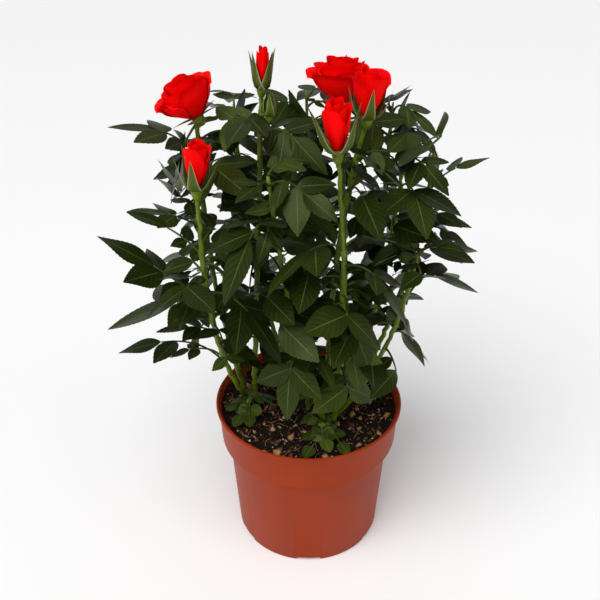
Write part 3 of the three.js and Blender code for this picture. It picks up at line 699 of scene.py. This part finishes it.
def leaf_to(cane, height, tip, size, slope, broad):
    root = bend(cane["curve"], share_at(cane["curve"], height))
    habit = {**habit_to(root, np.array(tip, dtype=float), size, slope), "broad": broad}
    return compound_leaf(root, habit, cane["draw"])


for cane in CANES:
    for place in cane["placed"]:
        rachis, leaflets = leaf_to(cane, *place, 1.25 if cane.get("basal") else 1)
        keep(cane, pruned(rachis, leaflets, cane, True), [])
for turn in range(max(cane["leaves"] for cane in CANES)):
    for cane in CANES:
        if turn >= cane["leaves"]:
            continue
        draw = cane["draw"]
        share = (1 - (turn + 0.5) / cane["leaves"]) ** CROWDING
        root = bend(cane["curve"], mix(cane["start"], cane["end"], share))
        best = None
        for attempt in range(TRIES):
            swing = 30 + 16 * attempt
            vigour = 0.86 + 0.18 * sin(pi * share) + 0.14 * (draw() - 0.5)
            size = cane["leaflet"] * (1 - 0.04 * attempt) * vigour
            bearing = cane["bearing"] + PHYLLOTAXIS * turn + swing * (draw() - 0.5)
            rise = mix(14, 50, share) + (26 + 4 * attempt) * (draw() - 0.5)
            habit = {
                "bearing": bearing, "rise": rise, "droop": LEAF["droop"], "size": size,
                "rachis": size * LEAF["rachis"], "loose": 1,
                "broad": 1.25 if cane.get("basal") else 1,
            }
            rachis, leaflets = compound_leaf(root, habit, draw)
            leaf = pruned(rachis, leaflets[2:], cane)
            if best is None or leaf[2] > best[2]:
                best, small = leaf, leaflets[:2]
        keep(cane, best, small)

for cane in CANES:
    for rachis, kept, small in cane["grown"]:
        for leaflet in small:
            points = leaflet_points(leaflet)
            last = max(each["at"] for each in kept)
            if leaflet["at"] < last and room_at(points, cane, False).all():
                kept.append(leaflet)
                take(points, cane["index"])

# The crown seen from the front, on the upright plane through the pot's axis: its outline (height,
# left, right), and the openings in it (x, height, radius). The stalks of the two front buds stand
# free as well. A leaflet that shuts an opening or hides a stalk is made smaller or left out.
EYE = (-5.6, -429.6, 437.9)
OUTLINE = np.array([
    (100, -62, 60), (124, -62, 54), (136, -90, 74), (142, -112, 71), (148, -80, 66),
    (154, -122, 66), (164, -116, 60), (180, -90, 64), (186, -90, 97), (202, -108, 91),
    (217, -120, 92), (223, -78, 80), (235, -98, 79), (247, -86, 80), (257, -86, 89),
    (272, -80, 80), (285, -108, 66), (290, -83, 54), (302, -82, 50),
])
OPENINGS = np.array([
    (56, 136, 7), (49, 147, 5), (35, 155, 3), (77, 182, 5), (75, 202, 3), (82, 253, 4),
    (75, 270, 5), (-101, 152, 6), (-80, 145, 4), (-61, 139, 5), (-66, 126, 4), (-38, 144, 4),
    (-22, 146, 3), (-50, 120, 5), (-53, 105, 5), (-40, 187, 4), (-11, 203, 4), (29, 204, 4),
    (-84, 220, 6), (-87, 207, 4), (-102, 219, 4), (-57, 236, 4),
])
LOWEST_FURTHER_LEAF = 122


def seen_from_front(points):
    share = EYE[1] / (EYE[1] - points[:, 1])
    return EYE[0] + (points[:, 0] - EYE[0]) * share, EYE[2] + (points[:, 2] - EYE[2]) * share


front_stalks = np.array([
    bend(cane["curve"], share)
    for cane, low in ((CANES[0], 0.72), (CANES[5], 0.52)) for share in np.linspace(low, 1, 40)
])
stalk_across, stalk_height = seen_from_front(front_stalks)


def shuts(points):
    across, height = seen_from_front(points)
    aside = across[:, None] - OPENINGS[:, 0]
    above = (height[:, None] - OPENINGS[:, 1]) / 1.15
    near = np.hypot(across[:, None] - stalk_across, height[:, None] - stalk_height) < 2.4
    hides = near & (points[:, 1:2] < front_stalks[:, 1] - 1.5)
    return (np.hypot(aside, above) < OPENINGS[:, 2]).any(axis=1) | hides.any(axis=1)


def within_outline(points):
    across, height = seen_from_front(points)
    left, right = (np.interp(height, OUTLINE[:, 0], OUTLINE[:, side]) for side in (1, 2))
    x, y, z = points.T
    heights, _, _, *ends = np.array(CROWN, dtype=float).T
    front, back = (np.interp(z, heights, end) for end in ends)
    inside = in_oval(across, y, left, right, front, back, 1.5)
    return inside & (height < OUTLINE[-1, 0]) & (z > LOWEST_FURTHER_LEAF)


def leaves_openings(leaflet, small):
    return (not small and leaflet["at"] == 1) or shuts(leaflet_points(leaflet)).mean() <= 0.08


for cane in CANES:
    for rachis, kept, small in cane["grown"]:
        for leaflet in kept:
            leaflet["length"] *= 0.92 if small else 1
            leaflet["length"] *= 1 if leaves_openings(leaflet, small) else 0.78
        kept[:] = [leaflet for leaflet in kept if leaves_openings(leaflet, small)]
    cane["grown"] = [leaf for leaf in cane["grown"] if leaf[1]]

# Small rounded leaves low at the stocks, and a few at the edge: cane, height of the root, tip,
# size, slope, breadth
for name, height, tip, size, slope, broad in (
    *(("basal_front", height, tip, 10, -8, 1.8) for height, tip in (
        (106, (-4, -43, 101)), (103, (-3, -56, 98)), (108, (12, -54, 101)), (102, (23, -55, 100)),
    )),
    *(("basal_left", height, tip, 10, -8, 1.8) for height, tip in (
        (104, (-47, -28, 99)), (106, (-37, -30, 100)), (103, (-53, -14, 101)),
    )),
    ("left", 284, (-81, 2, 236), 34, -72, 1.3),
    ("left", 215, (-104, 0, 235), 24, 15, 1),
    ("back_right", 276, (74, 24, 268), 23, -35, 1.1),
    ("back_right", 280, (57, 30, 297), 18, 40, 1),
    ("front_left", 150, (-90, -25, 168), 20, -5, 1),
    ("front_left", 138, (-84, -22, 148), 13, -15, 1.2),
):
    cane = next(cane for cane in CANES if cane["name"] == name)
    rachis, leaflets = leaf_to(cane, height, tip, size, slope, broad)
    if cane.get("basal"):
        for leaflet in leaflets[:2]:
            leaflet["length"] *= 1.35
        leaflets = leaflets[:2] + leaflets[4:]
    cane["grown"].append((rachis, leaflets[-3:], []))

# Further leaves in what is still open, on a finer grid of cells
FINE = 1.6
GRID = (180, 150, 170)
GRID_CORNER = (-144, -120, 60)
busy = np.zeros(GRID, dtype=bool)


def fine_cells(points, offset=(0, 0, 0)):
    cells = np.floor((points - GRID_CORNER) / FINE).astype(int) + offset
    return tuple(np.clip(cells, 0, np.array(GRID) - 1).T)


def fill_cells(points, margin=1):
    for step in np.ndindex(2 * margin + 1, 2 * margin + 1, 2 * margin + 1):
        busy[fine_cells(points, np.array(step) - margin)] = True


def is_open(points):
    free = not busy[fine_cells(points)].any()
    return free and within_outline(points).mean() > 0.9 and shuts(points).mean() < 0.05


def fill_leaf(rachis, kept):
    fill_cells(np.array([bend(rachis, k / 24) for k in range(25)]), 0)
    for leaflet in kept:
        fill_cells(leaflet_points(leaflet))


for cane in CANES:
    fill_cells(np.array([bend(cane["curve"], k / 120) for k in range(121)]))
    if cane.get("bloom"):
        ball = np.stack(np.meshgrid(*[np.arange(-1, 1.01, 0.08)] * 3), axis=-1).reshape(-1, 3)
        ball = ball[np.linalg.norm(ball, axis=1) <= 1]
        fill_cells(cane["heart"] + ball * (cane["bloom_size"] * BLOOM_REACH + 1))
    for rachis, kept, _ in cane["grown"]:
        fill_leaf(rachis, kept)
rim_turns = np.arange(240) * 2 * pi / 240
rim = np.column_stack([np.cos(rim_turns), np.sin(rim_turns)])
for height in (POT_RIM["height"] - 3.0, POT_RIM["height"] + 1.0):
    for step in range(7):
        ring = (POT_RIM["inside"] - 3 + step) * rim
        fill_cells(np.column_stack([ring, np.full(240, height)]))
for height in (SOIL_LEVEL + 0.5, SOIL_LEVEL + 2):
    side = np.arange(-58, 59, 1.5)
    spots = np.stack(np.meshgrid(side, side), axis=-1).reshape(-1, 2)
    fill_cells(np.column_stack([spots, np.full(len(spots), height)]), 0)
TUFT_TRIES = 30
FURTHER_TRIES = 5400
LARGE_UNTIL, MEDIUM_UNTIL = 900, 2400
further = np.random.default_rng(5)
for cane in CANES:
    if cane.get("bloom") or cane.get("basal"):
        continue
    for k in range(TUFT_TRIES):
        root = bend(cane["curve"], 1 - 0.012 * (k % 3))
        habit = {
            "bearing": 120 * k + further.uniform(-40, 40), "rise": further.uniform(40, 75),
            "droop": 50, "rachis": further.uniform(9, 15), "size": further.uniform(14, 24),
            "broad": 0.95, "loose": 1,
        }
        rachis, leaflets = compound_leaf(root, habit, further.random)
        kept = [leaflet for leaflet in leaflets if is_open(leaflet_points(leaflet))]
        if len(kept) >= 3 and is_open(np.array([bend(rachis, j / 12) for j in range(4, 13)])):
            cane["grown"].append((rachis, kept, []))
            fill_leaf(rachis, kept)
growing = [cane for cane in CANES if not cane.get("basal")]
for turn in range(FURTHER_TRIES):
    cane = growing[turn % len(growing)]
    share = further.random() ** (0.35 if turn % 3 == 0 else 0.6)
    start = cane["start"] if cane["leafy"][0] < 180 else cane["start"] - 0.08
    root = bend(cane["curve"], mix(start, cane["end"], share))
    if root[2] < 185 and further.random() < 0.55:
        continue
    sizes = (26, 36) if turn < LARGE_UNTIL else (18, 28) if turn < MEDIUM_UNTIL else (12, 20)
    size = further.uniform(*sizes)
    habit = {
        "bearing": further.uniform(0, 360), "rise": mix(5, 55, share) + further.uniform(-16, 16),
        "droop": LEAF["droop"], "rachis": size * further.uniform(0.7, 1.25), "size": size,
        "broad": 1, "loose": 1.3,
    }
    rachis, leaflets = compound_leaf(root, habit, further.random)
    stalk = np.array([bend(rachis, k / 12) for k in range(3, 13)])
    if not is_open(stalk):
        continue
    kept = [leaflet for leaflet in leaflets if is_open(leaflet_points(leaflet))]
    if len(kept) >= (3 if turn < MEDIUM_UNTIL else 2):
        cane["grown"].append((rachis, kept, []))
        fill_leaf(rachis, kept)

# ---------------------------------------------------------------- leaves
# Each leaflet is an oval pointed blade with a toothed edge, folded a little along its midrib and
# glossy dark green, with pale veins on its upper side. A few plain greens are dealt out by leaf.
ACROSS = np.array([-1, -0.55, 0, 0.55, 1])


def blade(leaflet, wave, stations):
    share = np.linspace(0, 1, stations)
    length = leaflet["length"]
    bluntness = 0.9 if leaflet["width"] < 0.9 else 0.65
    half = 0.42 * leaflet["width"] * length * np.sin(pi * share ** 0.8) ** bluntness
    half = half * (1 - 0.12 * share)
    odd = np.arange(stations) % 2 == 1
    side = np.tile(ACROSS, (stations, 1))
    side[:, [0, -1]] *= np.where(odd, 1.015, 0.97)[:, None]
    along = np.tile(share[:, None], (1, 5))
    along[1:-1, [0, -1]] += np.where(odd[1:-1], 0.25, 0.0)[:, None] / stations
    wide = half[:, None] * side
    fold, curl, twist, phase = wave
    lift = -(0.07 + 0.05 * curl) * length * along ** 2 + (0.16 + 0.08 * fold) * np.abs(wide)
    lift = lift - 0.10 * wide ** 2 / half.max() + 0.16 * twist * np.sin(along * 5 + phase) * wide
    points = (
        leaflet["base"]
        + (along * length)[:, :, None] * leaflet["along"]
        + wide[:, :, None] * leaflet["lateral"]
        + lift[:, :, None] * leaflet["up"]
    )
    uv = np.stack([np.tile((ACROSS + 1) / 2, (stations, 1)), along], axis=2)
    return points.reshape(-1, 3), uv.reshape(-1, 2)


leaf_parts = {"left": [], "right": []}
twig_parts = []
tints = np.random.default_rng(8)
for cane in CANES:
    half_of_bush = "left" if cane["stock"] in ("left", "back") else "right"
    for rachis, kept, _ in cane["grown"]:
        tint = int(tints.choice([0, 1, 2, 3], p=[0.50, 0.36, 0.12, 0.02]))
        if cane.get("basal"):
            tint = 2
        for leaflet in kept:
            stations = 29 if leaflet["length"] > 24 else 19
            points, uv = blade(leaflet, tints.uniform(-1, 1, 4), stations)
            own = tint if tints.random() < 0.8 else min(3, tint + 1)
            faces = [face[::-1] for face in grid_faces(stations, 5)]
            leaf_parts[half_of_bush].append((points, faces, own, uv))
        last = min(1, max(leaflet["at"] for leaflet in kept) + 0.02)
        path = np.array([bend(rachis, last * k / 8) for k in range(9)])
        points, faces = tube(path, np.linspace(0.8, 0.45, 9), 6)
        twig_parts.append((points, faces, 0, None))


# How far a place on a blade lies beside its midrib and along it, by the blade's own coordinates
blade_place, _, out = new_group("blade_place", {}, {"Aside": "Float", "Along": "Float"})
place = add_node(blade_place, "ShaderNodeUVMap", uv_map="UVMap")
parts = add_node(blade_place, "ShaderNodeSeparateXYZ")
across = add_node(blade_place, "ShaderNodeMath", {1: 2, 2: -1}, operation="MULTIPLY_ADD")
aside = add_node(blade_place, "ShaderNodeMath", operation="ABSOLUTE")
wire(
    blade_place,
    (place, "UV", parts, 0),
    (parts, "X", across, 0),
    (across, 0, aside, 0),
    (aside, 0, out, "Aside"),
    (parts, "Y", out, "Along"),
)

# The upper side of a leaf: mottled, with a pale rib and pale slanting veins
leaf_top, given, out = new_group("leaf_top", {
    "Dark": "Color", "Light": "Color", "Vein": "Color", "Gloss Low": "Float",
    "Gloss High": "Float",
}, {"Color": "Color", "Roughness": "Float", "Normal": "Vector"})
smooth = {"interpolation_type": "SMOOTHSTEP"}
where = add_node(leaf_top, "ShaderNodeGroup", node_tree=blade_place)
slant = add_node(leaf_top, "ShaderNodeMath", {1: -0.3}, operation="MULTIPLY_ADD")
beat = add_node(leaf_top, "ShaderNodeMath", {1: 7.5}, operation="MULTIPLY")
teeth = add_node(leaf_top, "ShaderNodeMath", {1: 0.5}, operation="PINGPONG")
vein = add_node(leaf_top, "ShaderNodeMapRange", {"From Min": 0.1, "From Max": 0.0}, **smooth)
soft = add_node(leaf_top, "ShaderNodeMath", {1: 0.2}, operation="MULTIPLY")
rib = add_node(
    leaf_top, "ShaderNodeMapRange", {"From Min": 0.06, "From Max": 0.015, "To Max": 0.6}, **smooth
)
lines = add_node(leaf_top, "ShaderNodeMath", operation="MAXIMUM")
spot = add_node(leaf_top, "ShaderNodeTexCoord")
cloud = add_node(leaf_top, "ShaderNodeTexNoise", {"Scale": 75, "Detail": 4})
tone = add_node(leaf_top, "ShaderNodeMapRange", {"From Min": 0.3, "From Max": 0.7})
mottled = add_node(leaf_top, "ShaderNodeMix", data_type="RGBA")
upper = add_node(leaf_top, "ShaderNodeMix", data_type="RGBA")
shine = add_node(leaf_top, "ShaderNodeMapRange")
bump = add_node(leaf_top, "ShaderNodeBump", {"Strength": 0.25, "Distance": 0.0005})
wire(
    leaf_top,
    (where, "Aside", slant, 0),
    (where, "Along", slant, 2),
    (slant, 0, beat, 0),
    (beat, 0, teeth, 0),
    (teeth, 0, vein, "Value"),
    (vein, "Result", soft, 0),
    (where, "Aside", rib, "Value"),
    (rib, "Result", lines, 0),
    (soft, 0, lines, 1),
    (spot, "Object", cloud, "Vector"),
    (cloud, "Fac", tone, "Value"),
    (tone, "Result", mottled, "Factor"),
    (given, "Dark", mottled, "A"),
    (given, "Light", mottled, "B"),
    (mottled, "Result", upper, "A"),
    (given, "Vein", upper, "B"),
    (lines, 0, upper, "Factor"),
    (upper, "Result", out, "Color"),
    (cloud, "Fac", shine, "Value"),
    (given, "Gloss Low", shine, "To Min"),
    (given, "Gloss High", shine, "To Max"),
    (shine, "Result", out, "Roughness"),
    (lines, 0, bump, "Height"),
    (bump, "Normal", out, "Normal"),
)


def leafy_green(name, green, gloss):
    """A green of the leaves, mottled and veined on the upper side and plain below."""
    red, mid, blue = green
    material = new_material(
        name, {"Specular IOR Level": 0.21, "Specular Tint": (0.84, 1.0, 0.45, 1)}
    )
    tree = material.node_tree
    shader = tree.nodes["Principled BSDF"]
    top = add_node(tree, "ShaderNodeGroup", {
        "Dark": (red * 0.8, mid * 0.85, blue * 0.9, 1),
        "Light": (red * 1.3, mid * 1.2, blue * 1.1, 1),
        "Vein": (red * 1.6 + 0.085, mid * 1.6 + 0.105, blue * 1.6 + 0.03, 1),
        "Gloss Low": gloss - 0.07, "Gloss High": gloss + 0.09,
    }, node_tree=leaf_top)
    faces = add_node(tree, "ShaderNodeNewGeometry")
    under = add_node(tree, "ShaderNodeMix", {
        "B": (red * 1.1 + 0.007, mid * 1.1 + 0.009, blue * 1.1 + 0.004, 1),
    }, data_type="RGBA")
    wire(
        tree,
        (top, "Color", under, "A"),
        (faces, "Backfacing", under, "Factor"),
        (under, "Result", shader, "Base Color"),
        (top, "Roughness", shader, "Roughness"),
        (top, "Normal", shader, "Normal"),
    )
    return material


leaf_materials = [
    leafy_green("leaf_dark", (0.0105, 0.0190, 0.0022), 0.32),
    leafy_green("leaf_mid", (0.0170, 0.0280, 0.0033), 0.35),
    leafy_green("leaf_light", (0.027, 0.042, 0.0052), 0.38),
    leafy_green("leaf_young", (0.046, 0.070, 0.009), 0.4),
]
foliage_nodes = [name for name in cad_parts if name.startswith("foliage_")]
for half_of_bush, parts_of_half in leaf_parts.items():
    leaves = joined_mesh("leaves_" + half_of_bush, parts_of_half, leaf_materials)
    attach(leaves, "root")
    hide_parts(*foliage_nodes)

# ---------------------------------------------------------------- canes, stocks and leaf stalks
# Green canes thicken a little at each leaf and taper to the blooms; they stand on short stocks,
# browner at the soil. The leaves hang on thin stalks.
cane_parts = []
for cane in CANES:
    steps = 46
    shares = np.linspace(0, 1, steps)
    path = np.array([bend(cane["curve"], share) for share in shares])
    wobble = np.random.default_rng(cane["seed"])
    path[1:-1, :2] += 0.25 * wobble.standard_normal((steps - 2, 2))
    radius = np.interp(shares, [0, cane["start"], cane["end"], 1], [1.9, 1.5, 1.25, 1.1])
    if not cane.get("bloom"):
        radius = radius * np.interp(shares, [0, 0.86, 1], [1, 0.85, 0.42])
    if cane.get("basal"):
        radius = np.linspace(1.4, 0.9, steps)
    for rachis, _, _ in cane["grown"]:
        height = np.linalg.norm(path - rachis[0], axis=1)
        radius = radius + 0.35 * np.exp(-(height / 1.8) ** 2)
    points, faces = tube(path, radius, 12)
    cane_parts.append((points, faces, 0, None))
stock_heights = np.array([-1.2, 0.2, 1.2, 2.6, 5, 7, 8.1])
stock_widths = (5.4, 5.0, 4.5, 3.9, 3.7, 3.2, 1.6)
for stock in STOCKS.values():
    path = np.column_stack([
        np.full(7, float(stock["x"])), np.full(7, float(stock["y"])), SOIL_LEVEL + stock_heights,
    ])
    knobs = np.random.default_rng(int(abs(stock["x"]) * 10))
    radii = [width * (1 + 0.12 * knobs.standard_normal(14)) for width in stock_widths]
    points, faces = tube(path, radii, 14)
    cane_parts.append((points, faces, 1, None))
green_bark, stock_bark, leaf_stalk = (
    grained(
        name, {"Roughness": 0.45, "Specular IOR Level": 0.25}, low, high,
        scale=160, detail=4, span=(0.32, 0.66), strength=0.3, depth=0.0005,
    )
    for name, low, high in (
        ("green_bark", (0.065, 0.105, 0.003), (0.15, 0.21, 0.008)),
        ("stock_bark", (0.04, 0.045, 0.008), (0.12, 0.14, 0.02)),
        ("leaf_stalk", (0.020, 0.036, 0.002), (0.055, 0.078, 0.006)),
    )
)
canes = joined_mesh("canes", cane_parts, [green_bark, stock_bark])
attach(canes, "root")
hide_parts(*[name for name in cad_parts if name.startswith(("cane_", "stock_"))])
twigs = joined_mesh("leaf_stalks", twig_parts, [leaf_stalk])
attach(twigs, "root")

# ---------------------------------------------------------------- blooms
# Roses of many thin velvety red petals, furled in the middle and rolled back at their rims, in five
# green sepals on a small green hip. Buds show a few petals wrapped round each other.
petal_parts = []
sepal_parts = []
green_parts = []


def petal(turn, spread, radius, height, lean, curl, ruffle, phase):
    up, side = np.meshgrid(np.linspace(0, 1, 14), np.linspace(-1, 1, 13), indexing="ij")
    wide = np.sin(pi * (0.2 + 0.52 * up))
    angle = turn + side * spread * wide / 2
    belly = radius * (0.3 + 0.7 * np.sin(pi / 2 * np.minimum(1, up * 1.45)))
    rim = np.clip((up - 0.66) / 0.34, 0, 1) ** 2
    far = belly + lean * up ** 2 + curl * rim * (1 - 0.35 * side ** 2)
    far = far + ruffle * np.sin(2.6 * side + phase) * up ** 2 + 0.35 * side ** 2 * up
    z = height * up * (1 - 0.22 * side ** 4 * up ** 2) - 0.7 * curl * rim * (1 - 0.3 * side ** 2)
    z = z + 0.02 * height * (1 - np.abs(side)) ** 2 * up ** 4
    return np.stack([far * np.cos(angle), far * np.sin(angle), z], axis=2).reshape(-1, 3)


# Of each kind: how many petals, and then shares of its size: the outer petals' radius, the height
# of the inner and of the outer petals, and in mm how far the outer ones lean, roll back and wave.
# Sepals: the radius and height that their tips reach, the radius where they hug the petals, their
# width and how far they flare. Then the hip's radius and height.
BLOOMS = {
    "open": {
        "petals": 23, "belly": 0.40, "inner": 0.62, "outer": 0.47, "lean": 2.2, "curl": 3.6,
        "ruffle": 0.5, "sepal": (0.42, 0.02, 0.22, 0.15, 0), "hip": (3.2, 7),
    },
    "half_open": {
        "petals": 13, "belly": 0.27, "inner": 0.86, "outer": 0.84, "lean": 2.2, "curl": 2.0,
        "ruffle": 0.35, "sepal": (0.42, 0.72, 0.31, 0.27, 0.06), "hip": (3.1, 7),
    },
    "opening": {
        "petals": 9, "belly": 0.235, "inner": 0.93, "outer": 0.84, "lean": 0.5, "curl": 0.9,
        "ruffle": 0.25, "sepal": (0.44, 0.80, 0.30, 0.30, 0.10), "hip": (3.0, 7),
    },
    "bud": {
        "petals": 6, "belly": 0.19, "inner": 1.0, "outer": 0.9, "lean": -0.9, "curl": 0.1,
        "ruffle": 0.1, "sepal": (0.22, 0.98, 0.235, 0.46, 0.14), "hip": (2.7, 6),
    },
    "green_bud": {
        "petals": 4, "belly": 0.20, "inner": 0.72, "outer": 0.70, "lean": -1.4, "curl": 0,
        "ruffle": 0, "sepal": (0.06, 1.0, 0.30, 0.46, 0.06), "hip": (2.3, 5),
    },
}
HIP_HAIRS = 46
STALK_BRISTLES = 110
SEPAL_TURNS = (-90, -18, 54, 126, 198)
PARTED_SEPAL_TURNS = (-138, -42, 25, 90, 155)


def stand(points, at, nod):
    side = unit(np.cross((0, 1, 0), nod))
    other = np.cross(nod, side)
    return at + points[:, :1] * side + points[:, 1:2] * other + points[:, 2:] * nod


def add_green(points, faces):
    green_parts.append((points, faces, 0, None))


def bloom(kind, size, at, nod, seed, parted=False):
    make = BLOOMS[kind]
    noise = np.random.default_rng(seed)
    for i in range(make["petals"]):
        share = i / (make["petals"] - 1)
        radius = mix(0.05, make["belly"], share ** 0.8) * size
        height = mix(make["inner"], make["outer"], share ** 1.5) * size
        height = height * (1 + 0.035 * noise.standard_normal())
        spread = mix(3.8, 1.9 if kind == "open" else 2.4, share)
        points = petal(
            i * 2.4 + 0.2 * noise.standard_normal(), spread, radius, height,
            make["lean"] * share ** 2, make["curl"] * share ** 2 * noise.uniform(0.6, 1.15),
            make["ruffle"] * share, noise.uniform(0, 6),
        )
        points = stand(points, at, nod)
        if kind == "green_bud":
            add_green(points, grid_faces(14, 13))
        else:
            # the inner petals take a darker red, painted shade deep in the heart of the bloom
            petal_parts.append((points, grid_faces(14, 13), 0 if share > 0.35 else 1, None))
    hip_radius, hip_height = make["hip"]
    up = np.linspace(0, 1, 10)
    path = np.column_stack([np.zeros(10), np.zeros(10), hip_height * (up - 1) + 1])
    points, faces = tube(path, hip_radius * (0.42 + 0.58 * np.sin(pi * (0.08 + 0.62 * up))), 14)
    add_green(stand(points, at, nod), faces)
    for _ in range(HIP_HAIRS):
        turn, height = noise.uniform(0, 2 * pi), noise.uniform(-hip_height * 0.8, 0.5)
        out = np.array([cos(turn), sin(turn), 0.15])
        root = np.array([0, 0, height]) + out * hip_radius * 0.75
        hair = np.array([root, root + out * noise.uniform(1.0, 1.9)])
        points, faces = tube(hair, [0.12, 0.04], 3)
        add_green(stand(points, at, nod), faces)
    tip_out, tip_up, hug, width, flare = (value * size for value in make["sepal"])
    share, side = np.meshgrid(np.linspace(0, 1, 15), np.linspace(-1, 1, 7), indexing="ij")
    for turn in PARTED_SEPAL_TURNS if parted else SEPAL_TURNS:
        angle = radians(turn) + 0.1 * noise.standard_normal()
        far = tip_out * noise.uniform(0.85, 1.1)
        high = tip_up * noise.uniform(0.9, 1.04)
        rise = [-0.8, 0.02 * size, 0.45 * high, high]
        reach = [hip_radius * 0.6, hug * 1.15, hug * 1.2, far]
        rest = 1 - share
        weights = [rest ** 3, 3 * rest ** 2 * share, 3 * rest * share ** 2, share ** 3]
        out = sum(weight * value for weight, value in zip(weights, reach)) + flare * share ** 5
        z = sum(weight * value for weight, value in zip(weights, rise))
        half = 0.5 * width * np.minimum(1, 0.6 + 2.4 * share) * (1 - share ** 1.6) ** 0.95
        wide = (half + 0.1 * (1 - share)) * side
        out = out - 0.09 * wide ** 2
        x = out * cos(angle) - wide * sin(angle)
        y = out * sin(angle) + wide * cos(angle)
        points = np.stack([x, y, z], axis=2).reshape(-1, 3)
        uv = np.stack([(side + 1) / 2, share], axis=2).reshape(-1, 2)
        sepal_parts.append((stand(points, at, nod), grid_faces(15, 7), 0, uv))


for cane in CANES:
    if not cane.get("bloom"):
        continue
    parted = cane["name"] in ("centre_left", "front_right")
    bloom(cane["bloom"], cane["bloom_size"], cane["curve"][2], cane["nod"], cane["seed"], parted)
    if cane.get("side_bud"):
        bud = np.array(cane["side_bud"], dtype=float)
        bloom("green_bud", 13, bud, np.array([0, 0, 1.0]), 5)
        fork = bend(cane["curve"], mix(cane["end"], 1, 0.1))
        side = (fork, np.array([bud[0], bud[1], (fork[2] + bud[2]) / 2]), bud)
        path = np.array([bend(side, k / 8) for k in range(9)])
        add_green(*tube(path, np.linspace(1.1, 0.85, 9), 8))
    bristles = np.random.default_rng(cane["seed"] + 5)
    for _ in range(STALK_BRISTLES):
        at = bend(cane["curve"], mix(cane["end"], 1, bristles.random() ** 0.7))
        out = unit(np.append(bristles.standard_normal(2), 0.1))
        bristle = np.array([at + out, at + out * bristles.uniform(1.7, 2.5)])
        add_green(*tube(bristle, [0.13, 0.04], 3))

velvet = {
    "Roughness": 0.6, "Specular IOR Level": 0.05, "Sheen Weight": 0.10, "Sheen Roughness": 0.4,
    "Sheen Tint": (1, 0.05, 0.03, 1),
}
# The second red, darker, is painted shade for the inner petals in the heart of the bloom.
petal_materials = [
    grained(
        name, velvet, (red[0] * 0.92, red[1], red[2]), red,
        scale=220, detail=3, span=(0.3, 0.7), strength=0.15, depth=0.0005,
    )
    for name, red in (("petal", (1.0, 0.0004, 0.0006)), ("petal_heart_painted_shade", (0.90, 0.0002, 0.0006)))
]
sepal_material = new_material("sepal", {"Roughness": 0.5, "Specular IOR Level": 0.25})
tree = sepal_material.node_tree
shader = tree.nodes["Principled BSDF"]
where = add_node(tree, "ShaderNodeGroup", node_tree=blade_place)
ramp = add_node(tree, "ShaderNodeValToRGB")
ramp.color_ramp.elements[0].position = 0.0
ramp.color_ramp.elements[0].color = (0.060, 0.090, 0.006, 1)
ramp.color_ramp.elements[1].position = 0.72
ramp.color_ramp.elements[1].color = (0.085, 0.115, 0.010, 1)
ramp.color_ramp.elements.new(0.95).color = (0.33, 0.33, 0.17, 1)
wire(
    tree,
    (where, "Aside", ramp, "Fac"),
    (ramp, "Color", shader, "Base Color"),
)
petals = joined_mesh("petals", petal_parts, petal_materials)
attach(petals, "root")
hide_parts(*[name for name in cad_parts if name.startswith("rose_")])
sepals = joined_mesh("sepals", sepal_parts, [sepal_material])
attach(sepals, "root")
hips = joined_mesh("hips_and_stalks", green_parts, [green_bark])
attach(hips, "root")
